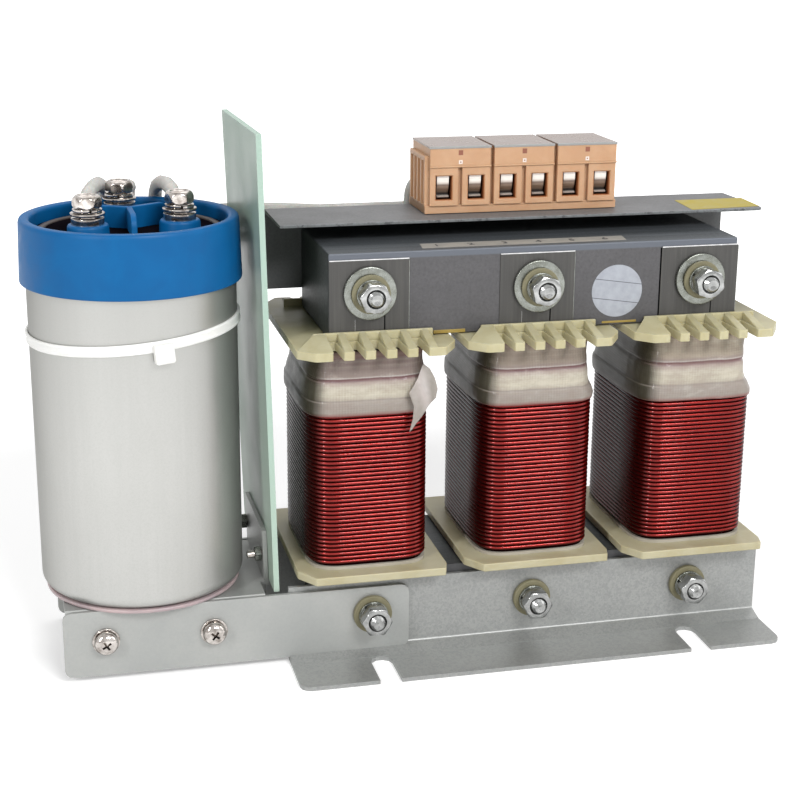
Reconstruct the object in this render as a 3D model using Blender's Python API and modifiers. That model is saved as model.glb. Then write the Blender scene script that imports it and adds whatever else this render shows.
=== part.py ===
"""Sine wave filter: a three phase reactor with its filter capacitor on one foot frame.

Frame of the modelling values: X = 0 at the centre limb, Y = 0 at the middle of the core's depth,
Z = 0 at the underside of the feet. The finished assembly hangs on one empty, which moves it so that
the origin lies at the bottom centre of the whole object. All values are in metres.
"""

import math

import bmesh
import bpy
from mathutils import Matrix, Vector

# General
GAP = 0.0003
DRAWING_SCALE = 1000.0
FEET_SHEET = 0.002

# Core. Its limbs stand as far apart as the coils and the flanges of their bobbins need.
LIMB_WIDTH = 0.040
COIL_BUILD = 0.012
WINDING_HALF_WIDTH = LIMB_WIDTH / 2 + COIL_BUILD
WINDING_MARGIN = 0.004
LOWER_FLANGE_WIDTH = 2 * (WINDING_HALF_WIDTH + WINDING_MARGIN)
FLANGE_SPACING = 0.008
LIMB_PITCH = LOWER_FLANGE_WIDTH + FLANGE_SPACING
CORE_WIDTH = 2 * LIMB_PITCH + LIMB_WIDTH
CORE_DEPTH = 0.068
CORE_HEIGHT = 0.196
YOKE_HEIGHT = 0.040
LIMB_END_RAISE = 0.0005
LIMB_END_INSET = 0.003

# Core bolts
BOLT_DIAMETER = 0.008
BOLT_HOLE = 0.009
BOLT_HEAD_FLATS = 0.013
BOLT_HEAD_HEIGHT = 0.0053
BOLT_COLLAR_DIAMETER = 0.016
BOLT_COLLAR_THICKNESS = 0.0016
NUT_FLATS = 0.013
NUT_HEIGHT = 0.0065
SPRING_WASHER_DIAMETER = 0.0128
SPRING_WASHER_THICKNESS = 0.002
LARGE_WASHER_DIAMETER = 0.024
LARGE_WASHER_THICKNESS = 0.002
UPPER_INSULATOR_DIAMETER = 0.017
UPPER_INSULATOR_THICKNESS = 0.0015
LOWER_INSULATOR_DIAMETER = 0.0188
LOWER_INSULATOR_THICKNESS = 0.0025
STUD_PROTRUSION = 0.0025

# Foot brackets
BRACKET_PAST_FLANGE = 0.0045
BRACKET_OVERHANG = (LOWER_FLANGE_WIDTH - LIMB_WIDTH) / 2 + BRACKET_PAST_FLANGE
BRACKET_LENGTH = CORE_WIDTH + 2 * BRACKET_OVERHANG
BRACKET_HEIGHT = 0.038
FOOT_REACH = 0.036
FOOT_CORNER = 0.005
FOOT_SLOT_WIDTH = 0.0105
FOOT_SLOT_DEPTH = 0.025
FOOT_SLOT_INSET = 0.0425
FOOT_SLOT_SPACING = BRACKET_LENGTH - 2 * FOOT_SLOT_INSET
WEB_SEAT = FEET_SHEET / 2
WEB_SEAM = 0.0001

# Bobbins
BOBBIN_WALL = 0.002
TUBE_CORNER = 0.005
LIMB_CLEARANCE = 0.0004
LOWER_FLANGE_REACH = 0.0145
LOWER_FLANGE_DEPTH = CORE_DEPTH + 2 * LOWER_FLANGE_REACH
LOWER_FLANGE_RIM = 0.0035
LOWER_FLANGE_THICKNESS = 0.006
LOWER_FLANGE_STEP = 0.0015
FLANGE_CHAMFER_X = 0.006
FLANGE_CHAMFER_Y = 0.011
UPPER_FLANGE_EXTRA = 0.003
UPPER_FLANGE_WIDTH = LOWER_FLANGE_WIDTH + UPPER_FLANGE_EXTRA
UPPER_FLANGE_REACH = 0.022
UPPER_FLANGE_DEPTH = CORE_DEPTH + 2 * UPPER_FLANGE_REACH
UPPER_FLANGE_THICKNESS = 0.004
UPPER_CHAMFER_X = 0.0075
UPPER_CHAMFER_Y = 0.0075
UPPER_CHAMFER_LONG = 0.012
COMB_SLOTS = 5
COMB_PITCH = 0.0098
COMB_SLOT_WIDTH = 0.0047
COMB_SLOT_DEPTH = 0.014
RIM_HEIGHT = 0.004
RIM_THICKNESS = 0.0018
RIM_LENGTH = 0.061
COMB_RIB_RISE = 0.0025

# Windings
WINDING_BUILD = 0.0068
WINDING_HALF_DEPTH = CORE_DEPTH / 2 + WINDING_BUILD
WINDING_CORNER_POWER = 4.0
WINDING_POINTS = 10
WIRE_PITCH = 0.00206
WIRE_GROOVE = 0.0008
OPEN_TURNS = 38
TAPE_INSET = 0.0006
TAPE_CLEARANCE = 0.0003
TAPE_THICKNESS = 0.0012
TAPE_BULGE = 0.0014
TAPE_STEP = 0.0025
TAPE_POINTS = 2 * WINDING_POINTS

# Top plate
PLATE_SHEET = 0.002
PLATE_SHORTER = 0.002
PLATE_LENGTH = BRACKET_LENGTH - PLATE_SHORTER
PLATE_OFFSET_X = 0.0015
PLATE_DEPTH = 0.0475
PLATE_RISE = 0.0093
PLATE_WEB_HEIGHT = 0.040
PLATE_BEND = 0.0025

# Terminal block
POLE_PITCH = 0.0159
POLE_COUNT = 6
MODULE_COUNT = 3
BLOCK_OFFSET_X = 0.00265
BLOCK_FRONT_Y = 0.0015
BLOCK_DEPTH = 0.0335
BLOCK_HEIGHT = 0.0318
BASE_HEIGHT = 0.0045
MODULE_GAP = 0.0019
PANEL_PROUD = 0.002
PANEL_WIDTH = 0.0139
BAND_HEIGHT = 0.009
POLE_OPENING_WIDTH = 0.0086
POLE_OPENING_HEIGHT = 0.012
POLE_OPENING_RISE = 0.0064
POLE_OPENING_DEPTH = 0.014
END_PLATE_THICKNESS = 0.0018
END_PLATE_HEIGHT = 0.0275
END_RIB_WIDTH = 0.002
END_RIB_PROUD = 0.001

# Barrier and capacitor stand off the bracket's left end
BARRIER_STAND_OFF = 0.0067
BARRIER_X = -BRACKET_LENGTH / 2 - BARRIER_STAND_OFF
CAN_RADIUS = 0.048
RING_WALL = 0.003
RING_RADIUS = CAN_RADIUS + RING_WALL
RING_STAND_OFF = 0.0073
CAPACITOR_X = BARRIER_X - RING_STAND_OFF - RING_RADIUS

# Side strips and capacitor tray
STRIP_SHEET = 0.002
STRIP_REACH = 0.0409
STRIP_PAST_BOLT = 0.018
STRIP_LEFT = CAPACITOR_X - STRIP_REACH
STRIP_RIGHT = -LIMB_PITCH + STRIP_PAST_BOLT
STRIP_HEIGHT = 0.0326
STRIP_BOTTOM = 0.003
STRIP_CORNER = 0.004
TRAY_SHEET = 0.002
TRAY_INSET = 0.0014
TRAY_LEFT = STRIP_LEFT + TRAY_INSET
TRAY_TOP = 0.0355
TRAY_FLANGE_HEIGHT = 0.030
TAB_HEIGHT = 0.026
TAB_FRONT = -0.020
TAB_PAST_CORE = 0.002
TAB_BACK = CORE_DEPTH / 2 + TAB_PAST_CORE
STRIP_SCREW_LEFT = 0.0215
STRIP_SCREW_RIGHT = 0.0288
STRIP_SCREW_X = (CAPACITOR_X - STRIP_SCREW_LEFT, CAPACITOR_X + STRIP_SCREW_RIGHT)
STRIP_SCREW_Z = 0.0205
STRIP_SCREW_DIAMETER = 0.005
STRIP_SCREW_HOLE = 0.0056
STRIP_SCREW_HEAD = 0.0105
STRIP_SCREW_HEAD_HEIGHT = 0.0035
STRIP_SCREW_WASHER = 0.013
STRIP_SCREW_WASHER_THICKNESS = 0.001
STRIP_SCREW_LENGTH = 0.010

# Barrier sheet
BARRIER_THICKNESS = 0.0026
BARRIER_HEIGHT = 0.2168
BARRIER_PAST_FRONT = 0.001
BARRIER_PAST_BACK = 0.024
BARRIER_FRONT = -CORE_DEPTH / 2 - BARRIER_PAST_FRONT
BARRIER_BACK = CORE_DEPTH / 2 + BARRIER_PAST_BACK
BARRIER_LEAN = math.radians(1.3)
BARRIER_CLEARANCE = 0.0005
BARRIER_SCREW_FRONT = 0.006
BARRIER_SCREW_BACK = 0.005
BARRIER_SCREW_Y = (TAB_FRONT + BARRIER_SCREW_FRONT, TAB_BACK - BARRIER_SCREW_BACK)
BARRIER_SCREW_RISE = 0.0125
BARRIER_SCREW_DIAMETER = 0.004
BARRIER_SCREW_HOLE = 0.0046
BARRIER_SCREW_HEAD = 0.0078
BARRIER_SCREW_HEAD_HEIGHT = 0.003
BARRIER_NUT_FLATS = 0.007
BARRIER_NUT_HEIGHT = 0.0032
BARRIER_SCREW_END = 0.004

# Capacitor
CAN_HEIGHT = 0.1669
CAN_BASE_ROUND = 0.0055
PAD_INSET = 0.002
PAD_RADIUS = CAN_RADIUS - PAD_INSET
PAD_THICKNESS = 0.0017
RING_LIP = 0.0025
RING_INNER_RADIUS = CAN_RADIUS - RING_LIP
RING_HEIGHT = 0.029
RING_ROUND = 0.0015
LID_THICKNESS = 0.003
LID_RECESS = 0.0065
POST_CIRCLE = CAN_RADIUS / 2
POST_PHASE = math.radians(96.0)
BOSS_RADIUS = 0.0095
BOSS_HEIGHT = 0.0043
WALL_THICKNESS = 0.0025
WALL_HEIGHT = 0.0092
WALL_LENGTH = 0.0235
WALL_ROUND = 0.006
POST_COLLAR_RADIUS = 0.0075
POST_COLLAR_HEIGHT = 0.0022
LUG_THICKNESS = 0.001
LUG_WIDTH = 0.006
LUG_REACH = 0.0124
LUG_BARREL_RADIUS = 0.0024
POST_WASHER_RADIUS = 0.008
POST_WASHER_THICKNESS = 0.0016
POST_SPRING_RADIUS = 0.0066
POST_SPRING_THICKNESS = 0.002
TIE_WIDTH = 0.0048
TIE_THICKNESS = 0.0012
TIE_BELOW_CAN_TOP = 0.0422
TIE_HEIGHT = CAN_HEIGHT - TIE_BELOW_CAN_TOP
TIE_TILT = math.radians(4.4)
TIE_HEAD = (0.009, 0.005, 0.009)
TIE_HEAD_ANGLE = math.radians(-80.0)
TIE_HEAD_DROP = 0.003

# Capacitor leads
LEAD_RADIUS = 0.0028
LEAD_CLEARANCE = 0.0006
LEAD_RUN_SPACING = 0.007
LEAD_ARCH_RISE = 0.0060
LEAD_LEG_X = (0.0040, -0.0085, 0.0170)
LEAD_POLES = (3, 5, 1)
LEAD_STAND_OFF = 0.016
LEAD_BACK_Y = CORE_DEPTH / 2 + LEAD_STAND_OFF
LEAD_SOCKET_DEPTH = 0.004
LEAD_SAMPLES = 2
LEAD_STRAIGHT = math.radians(75.0)
LEAD_OUT = 0.0035
LEAD_ARCH_NEAR = 0.010
LEAD_ARCH_MIDDLE = 0.022
LEAD_ARCH_FAR = 0.012
LEAD_ARCH_SAG = 0.0012
LEAD_RIM_NEAR = 0.003
LEAD_RIM_LIFT = 0.0004
LEAD_RIM_TURN = 0.0008
LEAD_DROP = 0.006
LEAD_FIRST_RUN = 0.012
LEAD_TURN_UP = 0.0024
LEAD_TURN_SIDE = 0.0022
LEAD_TURN_END = 0.009
LEAD_BARRIER_APPROACH = 0.026
LEAD_BARRIER_NEAR = 0.012
LEAD_BARRIER_PAST = 0.004
LEAD_SWING_MIDDLE = 0.022
LEAD_SWING_END = 0.040
LEAD_SWING_BULGE = 0.001
LEAD_RISER_START = 0.011
LEAD_RISER_SIDE = 0.0025
LEAD_RISER_LIFT = 0.003
LEAD_RISER_FIRST = 0.010
LEAD_ENTRY_DROP = 0.0042
LEAD_ENTRY_OUT = 0.006
LEAD_RUNS = (1, 2, 0)

# Positions that follow from the sizes above
CORE_BOTTOM = FEET_SHEET
CORE_TOP = CORE_BOTTOM + CORE_HEIGHT
CORE_FRONT = -CORE_DEPTH / 2
CORE_BACK = CORE_DEPTH / 2
LOWER_YOKE_TOP = CORE_BOTTOM + YOKE_HEIGHT
UPPER_YOKE_BOTTOM = CORE_TOP - YOKE_HEIGHT
LIMB_X = (-LIMB_PITCH, 0.0, LIMB_PITCH)
LOWER_BOLT_Z = CORE_BOTTOM + YOKE_HEIGHT / 2
UPPER_BOLT_Z = CORE_TOP - YOKE_HEIGHT / 2
BRACKET_FACE = CORE_DEPTH / 2 + GAP + FEET_SHEET
STRIP_FACE = BRACKET_FACE + GAP + STRIP_SHEET
PLATE_WEB_FACE = CORE_BACK + GAP + PLATE_SHEET
PLATE_TOP = CORE_TOP + PLATE_RISE
PLATE_FRONT = PLATE_WEB_FACE - PLATE_DEPTH
FLANGE_TOP = LOWER_YOKE_TOP + GAP + LOWER_FLANGE_THICKNESS
COMB_BOTTOM = UPPER_YOKE_BOTTOM - GAP - UPPER_FLANGE_THICKNESS
RIM_BACK_Y = CORE_FRONT - LIMB_END_RAISE - GAP
WINDING_BOTTOM = FLANGE_TOP + GAP
WINDING_TOP = COMB_BOTTOM - GAP
RIDGE_TOP = WINDING_BOTTOM + OPEN_TURNS * WIRE_PITCH
PAD_BOTTOM = TRAY_TOP + GAP
CAN_BOTTOM = PAD_BOTTOM + PAD_THICKNESS + GAP
CAN_TOP = CAN_BOTTOM + CAN_HEIGHT
LID_BOTTOM = CAN_TOP + GAP
LID_TOP = LID_BOTTOM + LID_THICKNESS
RING_TOP = LID_TOP + LID_RECESS
RING_BOTTOM = RING_TOP - RING_HEIGHT
BOSS_TOP = LID_TOP + BOSS_HEIGHT
BLOCK_BOTTOM = PLATE_TOP + GAP
BLOCK_REAR = BLOCK_FRONT_Y + BLOCK_DEPTH
SOCKET_Z = BLOCK_BOTTOM + POLE_OPENING_RISE + POLE_OPENING_HEIGHT / 2
LEFT_END = CAPACITOR_X - RING_RADIUS
RIGHT_END = BRACKET_LENGTH / 2
CENTRE_X = (LEFT_END + RIGHT_END) / 2


def clear_scene():
    for found in list(bpy.data.objects):
        bpy.data.objects.remove(found, do_unlink=True)


def collection(name):
    made = bpy.data.collections.new(name)
    bpy.context.scene.collection.children.link(made)
    return made


def material(name, color, roughness, metallic):
    made = bpy.data.materials.new(name)
    made.use_nodes = True
    shader = made.node_tree.nodes["Principled BSDF"]
    shader.inputs["Base Color"].default_value = (*color, 1.0)
    shader.inputs["Roughness"].default_value = roughness
    shader.inputs["Metallic"].default_value = metallic
    return made


clear_scene()
PARTS = collection("sine_wave_filter")
DATUM = bpy.data.objects.new("assembly_datum", None)
PARTS.objects.link(DATUM)
DATUM.location = (-CENTRE_X, 0.0, 0.0)


def new_object(name, mesh):
    made = bpy.data.objects.new(name, mesh)
    PARTS.objects.link(made)
    return made


def flatten(piece):
    """Turn a curve or an object with modifiers into a plain welded mesh object."""
    graph = bpy.context.evaluated_depsgraph_get()
    mesh = bpy.data.meshes.new_from_object(piece.evaluated_get(graph))
    shape = bmesh.new()
    shape.from_mesh(mesh)
    bmesh.ops.transform(shape, matrix=piece.matrix_world, verts=shape.verts)
    bmesh.ops.remove_doubles(shape, verts=shape.verts, dist=0.000002)
    bmesh.ops.dissolve_limit(shape, angle_limit=0.002, verts=shape.verts, edges=shape.edges)
    bmesh.ops.recalc_face_normals(shape, faces=shape.faces)
    shape.to_mesh(mesh)
    shape.free()
    name = piece.name
    bpy.data.objects.remove(piece, do_unlink=True)
    return new_object(name, mesh)


def box(name, low, high):
    """A box between two opposite corners."""
    shape = bmesh.new()
    bmesh.ops.create_cube(shape, size=1.0)
    size = [high[i] - low[i] for i in range(3)]
    middle = [(high[i] + low[i]) / 2 for i in range(3)]
    placement = Matrix.Translation(middle) @ Matrix.Diagonal((*size, 1.0))
    bmesh.ops.transform(shape, matrix=placement, verts=shape.verts)
    mesh = bpy.data.meshes.new(name)
    shape.to_mesh(mesh)
    shape.free()
    return new_object(name, mesh)


def cylinder(name, radius, start, end, segments=16, turn=0.0):
    """A solid cylinder between two points."""
    start = Vector(start)
    end = Vector(end)
    shape = bmesh.new()
    bmesh.ops.create_cone(
        shape,
        cap_ends=True,
        segments=segments,
        radius1=radius,
        radius2=radius,
        depth=(end - start).length,
        matrix=Matrix.Rotation(turn, 4, "Z"),
    )
    aim = (end - start).to_track_quat("Z", "Y").to_matrix().to_4x4()
    bmesh.ops.transform(shape, matrix=Matrix.Translation((start + end) / 2) @ aim, verts=shape.verts)
    mesh = bpy.data.meshes.new(name)
    shape.to_mesh(mesh)
    shape.free()
    return new_object(name, mesh)


def hexagon(name, flats, start, end):
    """A hexagonal bar between two points, with flats facing up and down when it lies along Y."""
    return cylinder(name, flats / 2 / math.cos(math.pi / 6), start, end, segments=6)


def turned(name, profile, segments, closed=False):
    """A solid turned about Z from (radius, z) points that run down the outer side."""
    mesh = bpy.data.meshes.new(name)
    count = len(profile)
    edges = [(i, i + 1) for i in range(count - 1)]
    if closed:
        edges.append((count - 1, 0))
    mesh.from_pydata([(radius, 0.0, height) for radius, height in profile], edges, [])
    made = new_object(name, mesh)
    screw = made.modifiers.new("turn", "SCREW")
    screw.angle = 2 * math.pi
    screw.steps = segments
    screw.render_steps = segments
    screw.use_merge_vertices = True
    screw.merge_threshold = 0.00001
    return flatten(made)


def outline_plate(name, outlines, thickness, placement):
    """A flat plate from closed outlines, the first outside and the others holes, extruded from z = 0 up."""
    curve = bpy.data.curves.new(name, "CURVE")
    curve.dimensions = "2D"
    curve.fill_mode = "BOTH"
    curve.extrude = thickness / 2 * DRAWING_SCALE
    for points in outlines:
        spline = curve.splines.new("POLY")
        spline.points.add(len(points) - 1)
        for slot, point in zip(spline.points, points):
            slot.co = (point[0] * DRAWING_SCALE, point[1] * DRAWING_SCALE, 0.0, 1.0)
        spline.use_cyclic_u = True
    made = new_object(name, curve)
    shrink = Matrix.Scale(1 / DRAWING_SCALE, 4)
    made.matrix_world = placement @ Matrix.Translation((0.0, 0.0, thickness / 2)) @ shrink
    bpy.context.view_layer.update()
    return flatten(made)


def circle_points(centre, radius, count):
    angles = [2 * math.pi * i / count for i in range(count)]
    x, y = centre
    return [(x + radius * math.cos(angle), y + radius * math.sin(angle)) for angle in angles]


def arc_points(centre, radius, start, end, count):
    return [
        (
            centre[0] + radius * math.cos(start + (end - start) * i / count),
            centre[1] + radius * math.sin(start + (end - start) * i / count),
        )
        for i in range(count + 1)
    ]


def rounded_rectangle(low, high, radius, steps=3):
    quarter = math.pi / 2
    points = arc_points((high[0] - radius, high[1] - radius), radius, 0, quarter, steps)
    points += arc_points((low[0] + radius, high[1] - radius), radius, quarter, 2 * quarter, steps)
    points += arc_points((low[0] + radius, low[1] + radius), radius, 2 * quarter, 3 * quarter, steps)
    points += arc_points((high[0] - radius, low[1] + radius), radius, 3 * quarter, 4 * quarter, steps)
    return points


def combine(target, others, operation):
    """Join or cut meshes with exact booleans and drop the tools."""
    for other in others:
        step = target.modifiers.new("step", "BOOLEAN")
        step.operation = operation
        step.solver = "EXACT"
        step.object = other
        target = flatten(target)
        bpy.data.objects.remove(other, do_unlink=True)
    return target


def join(target, others):
    return combine(target, others, "UNION")


def cut(target, others):
    return combine(target, others, "DIFFERENCE")


def finish(piece, finish_material, smooth_angle=40.0):
    piece.data.materials.clear()
    piece.data.materials.append(finish_material)
    piece.data.shade_smooth()
    piece.data.set_sharp_from_angle(angle=math.radians(smooth_angle))
    piece.parent = DATUM
    return piece


UP_Z = Matrix.Identity(4)
# XZ plate: outline x to X, outline y to Z, thickness towards -Y
FACING_FRONT = Matrix.Rotation(math.pi / 2, 4, "X")
# YZ profile: outline x to Y, outline y to Z, thickness towards +X
ALONG_X = Matrix(((0, 0, 1, 0), (1, 0, 0, 0), (0, 1, 0, 0), (0, 0, 0, 1)))

STEEL_LAMINATION = material("lamination_steel", (0.13, 0.125, 0.12), 0.55, 0.6)
PAINTED_GREY = material("grey_painted_steel", (0.25, 0.25, 0.255), 0.5, 0.2)
GALVANISED = material("galvanised_steel", (0.42, 0.44, 0.43), 0.42, 0.8)
ZINC = material("zinc_plated_steel", (0.55, 0.55, 0.52), 0.3, 0.9)
FIBRE = material("fibre_washer", (0.60, 0.55, 0.40), 0.6, 0.0)
BOBBIN_PLASTIC = material("bobbin_plastic", (0.62, 0.57, 0.36), 0.45, 0.0)
ENAMELLED_COPPER = material("enamelled_copper", (0.30, 0.02, 0.02), 0.25, 0.2)
CLEAR_TAPE = material("insulating_tape", (0.50, 0.45, 0.38), 0.35, 0.0)
TERMINAL_PLASTIC = material("terminal_plastic", (0.80, 0.48, 0.26), 0.45, 0.0)
BARRIER_LAMINATE = material("glass_epoxy_sheet", (0.33, 0.40, 0.35), 0.45, 0.0)
CAN_ALUMINIUM = material("can_aluminium", (0.70, 0.70, 0.70), 0.35, 0.9)
CAP_PLASTIC = material("cap_plastic", (0.015, 0.17, 0.45), 0.4, 0.0)
PAD_PLASTIC = material("pad_plastic", (0.45, 0.38, 0.36), 0.4, 0.0)
NYLON = material("white_nylon", (0.80, 0.80, 0.78), 0.45, 0.0)
LEAD_SLEEVE = material("lead_sleeve", (0.75, 0.74, 0.71), 0.5, 0.0)


def bolt_cutters(height, positions, front, back, diameter):
    return [
        cylinder("bolt_cutter", diameter / 2, (x, front, height), (x, back, height), segments=10)
        for x in positions
    ]


def make_core():
    half = CORE_WIDTH / 2
    outline = [(-half, CORE_BOTTOM), (half, CORE_BOTTOM)]
    for x in reversed(LIMB_X):
        right = x + LIMB_WIDTH / 2
        left = x - LIMB_WIDTH / 2
        if right < half:
            outline.append((right, LOWER_YOKE_TOP))
        outline.append((right, UPPER_YOKE_BOTTOM - GAP))
        outline.append((left, UPPER_YOKE_BOTTOM - GAP))
        if left > -half:
            outline.append((left, LOWER_YOKE_TOP))
    place = Matrix.Translation((0, CORE_BACK, 0)) @ FACING_FRONT
    lower = outline_plate("core_lower", [outline], CORE_DEPTH, place)
    lower = cut(lower, bolt_cutters(LOWER_BOLT_Z, LIMB_X, CORE_FRONT - 0.01, CORE_BACK + 0.01, BOLT_HOLE))
    finish(lower, STEEL_LAMINATION)

    yoke = box("core_upper_yoke", (-half, CORE_FRONT, UPPER_YOKE_BOTTOM), (half, CORE_BACK, CORE_TOP))
    ends = []
    for x in LIMB_X:
        bottom = UPPER_YOKE_BOTTOM + LIMB_END_INSET
        low = (x - LIMB_WIDTH / 2 + LIMB_END_RAISE, CORE_FRONT - LIMB_END_RAISE, bottom)
        high = (x + LIMB_WIDTH / 2 - LIMB_END_RAISE, CORE_FRONT + 0.001, CORE_TOP - LIMB_END_INSET)
        ends.append(box("limb_end", low, high))
    yoke = join(yoke, ends)
    yoke = cut(yoke, bolt_cutters(UPPER_BOLT_Z, LIMB_X, CORE_FRONT - 0.01, CORE_BACK + 0.01, BOLT_HOLE))
    finish(yoke, STEEL_LAMINATION)


def foot_outline():
    """The foot plate seen from above, front edge at the lower y, with its two open slots."""
    half = BRACKET_LENGTH / 2
    front = -(BRACKET_FACE - FEET_SHEET) - FOOT_REACH
    back = -BRACKET_FACE + FEET_SHEET - WEB_SEAM
    slot_radius = FOOT_SLOT_WIDTH / 2
    slot_end = front + FOOT_SLOT_DEPTH - slot_radius
    points = [(half, back), (-half, back)]
    points += arc_points((-half + FOOT_CORNER, front + FOOT_CORNER), FOOT_CORNER, math.pi, 1.5 * math.pi, 3)
    for x in (-FOOT_SLOT_SPACING / 2, FOOT_SLOT_SPACING / 2):
        points.append((x - slot_radius, front))
        points += arc_points((x, slot_end), slot_radius, math.pi, 0, 5)
        points.append((x + slot_radius, front))
    corner = (half - FOOT_CORNER, front + FOOT_CORNER)
    points += arc_points(corner, FOOT_CORNER, 1.5 * math.pi, 2 * math.pi, 3)
    return points


def make_foot_bracket(name, side):
    """side 1 is the front bracket, -1 the rear one, which is the same piece turned round."""
    foot = outline_plate(name, [foot_outline()], FEET_SHEET, UP_Z)
    half = BRACKET_LENGTH / 2
    web = box("web", (-half, -BRACKET_FACE, WEB_SEAT), (half, -BRACKET_FACE + FEET_SHEET, BRACKET_HEIGHT))
    bracket = join(foot, [web])
    cutters = bolt_cutters(LOWER_BOLT_Z, LIMB_X, -BRACKET_FACE - 0.01, -BRACKET_FACE + 0.01, BOLT_HOLE)
    bracket = cut(bracket, cutters)
    if side < 0:
        bracket.data.transform(Matrix.Rotation(math.pi, 4, "Z"))
    finish(bracket, GALVANISED)


def flange_outline(width, depth, chamfers):
    """Flange from above. chamfers holds (x, y) sizes for front left and front right, repeated turned."""
    half_x = width / 2
    half_y = depth / 2
    left, right = chamfers
    points = [(-half_x, -half_y + left[1]), (-half_x + left[0], -half_y)]
    if right[0] > 0:
        points += [(half_x - right[0], -half_y), (half_x, -half_y + right[1])]
    else:
        points.append((half_x, -half_y))
    return points + [(-x, -y) for x, y in points]


def comb_outline():
    """Upper flange seen from above, with wire slots open to the front and to the rear."""
    half_x = UPPER_FLANGE_WIDTH / 2
    half_y = UPPER_FLANGE_DEPTH / 2
    points = [(-half_x, -half_y + UPPER_CHAMFER_Y), (-half_x + UPPER_CHAMFER_X, -half_y)]
    for i in range(COMB_SLOTS):
        x = (i - (COMB_SLOTS - 1) / 2) * COMB_PITCH
        points.append((x - COMB_SLOT_WIDTH / 2, -half_y))
        points.append((x - COMB_SLOT_WIDTH / 2, -half_y + COMB_SLOT_DEPTH))
        points.append((x + COMB_SLOT_WIDTH / 2, -half_y + COMB_SLOT_DEPTH))
        points.append((x + COMB_SLOT_WIDTH / 2, -half_y))
    points += [(half_x - UPPER_CHAMFER_X, -half_y), (half_x, -half_y + UPPER_CHAMFER_LONG)]
    return points + [(-x, -y) for x, y in points]


def upright_tube_block(name, half_x, half_y, bottom, top):
    """A standing block with rounded corners, as the bobbin's tube and the hole through the winding have."""
    outline = rounded_rectangle((-half_x, -half_y), (half_x, half_y), TUBE_CORNER, 2)
    return outline_plate(name, [outline], top - bottom, Matrix.Translation((0, 0, bottom)))


def make_comb_rib(x, width, turn):
    """The sloping rib on one comb tooth: highest at the rim, level with the flange at the tip."""
    top = UPPER_YOKE_BOTTOM - GAP
    rim_y = RIM_BACK_Y - RIM_THICKNESS / 2
    tip_y = -UPPER_FLANGE_DEPTH / 2 + 0.0008
    profile = [
        (rim_y, top - UPPER_FLANGE_THICKNESS / 2),
        (tip_y, top - UPPER_FLANGE_THICKNESS / 2),
        (tip_y, top + 0.0002),
        (rim_y, top + COMB_RIB_RISE),
    ]
    place = turn @ Matrix.Translation((x - width / 2, 0, 0)) @ ALONG_X
    return outline_plate("comb_rib", [profile], width, place)


def make_bobbin(name, x):
    inner_x = LIMB_WIDTH / 2 + LIMB_CLEARANCE
    inner_y = CORE_DEPTH / 2 + LIMB_CLEARANCE
    place = Matrix.Translation((x, 0, 0))
    corner = ((FLANGE_CHAMFER_X, FLANGE_CHAMFER_Y), (0.0, 0.0))
    rim_plate = flange_outline(LOWER_FLANGE_WIDTH, LOWER_FLANGE_DEPTH, corner)
    step = 2 * LOWER_FLANGE_STEP
    inner_plate = flange_outline(LOWER_FLANGE_WIDTH - step, LOWER_FLANGE_DEPTH - step, corner)
    bottom = LOWER_YOKE_TOP + GAP
    top = UPPER_YOKE_BOTTOM - GAP
    bobbin = outline_plate(name, [rim_plate], LOWER_FLANGE_RIM, place @ Matrix.Translation((0, 0, bottom)))
    raised = outline_plate(
        "raised",
        [inner_plate],
        LOWER_FLANGE_THICKNESS - LOWER_FLANGE_RIM / 2,
        place @ Matrix.Translation((0, 0, bottom + LOWER_FLANGE_RIM / 2)),
    )
    outer = (inner_x + BOBBIN_WALL, inner_y + BOBBIN_WALL)
    tube = upright_tube_block("tube", outer[0], outer[1], bottom + 0.001, top - 0.001)
    tube.data.transform(place)
    comb_place = place @ Matrix.Translation((0, 0, COMB_BOTTOM))
    comb = outline_plate("comb", [comb_outline()], UPPER_FLANGE_THICKNESS, comb_place)
    pieces = [raised, tube, comb]
    for turn in (place, place @ Matrix.Rotation(math.pi, 4, "Z")):
        rim = box(
            "rim",
            (-RIM_LENGTH / 2, RIM_BACK_Y - RIM_THICKNESS, COMB_BOTTOM + 0.001),
            (RIM_LENGTH / 2, RIM_BACK_Y, top + RIM_HEIGHT),
        )
        rim.data.transform(turn)
        pieces.append(rim)
        tooth = COMB_PITCH - COMB_SLOT_WIDTH
        for i in range(COMB_SLOTS + 1):
            centre = (i - COMB_SLOTS / 2) * COMB_PITCH
            pieces.append(make_comb_rib(centre, tooth - 0.0004, turn))
    bobbin = join(bobbin, pieces)
    window = box("window", (x - inner_x, -inner_y, bottom - 0.01), (x + inner_x, inner_y, top + 0.00005))
    bobbin = cut(bobbin, [window])
    finish(bobbin, BOBBIN_PLASTIC, 30.0)


def winding_outline(inset, count):
    """Rounded outline of the winding, pulled in by inset: flat in front, bulged at the sides."""
    points = []
    power = 2.0 / WINDING_CORNER_POWER
    for i in range(count):
        angle = 2 * math.pi * i / count
        c = math.cos(angle)
        s = math.sin(angle)
        x = math.copysign(abs(c) ** power, c) * (WINDING_HALF_WIDTH - inset)
        y = math.copysign(abs(s) ** power, s) * (WINDING_HALF_DEPTH - inset)
        points.append((x, y))
    return points


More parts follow.
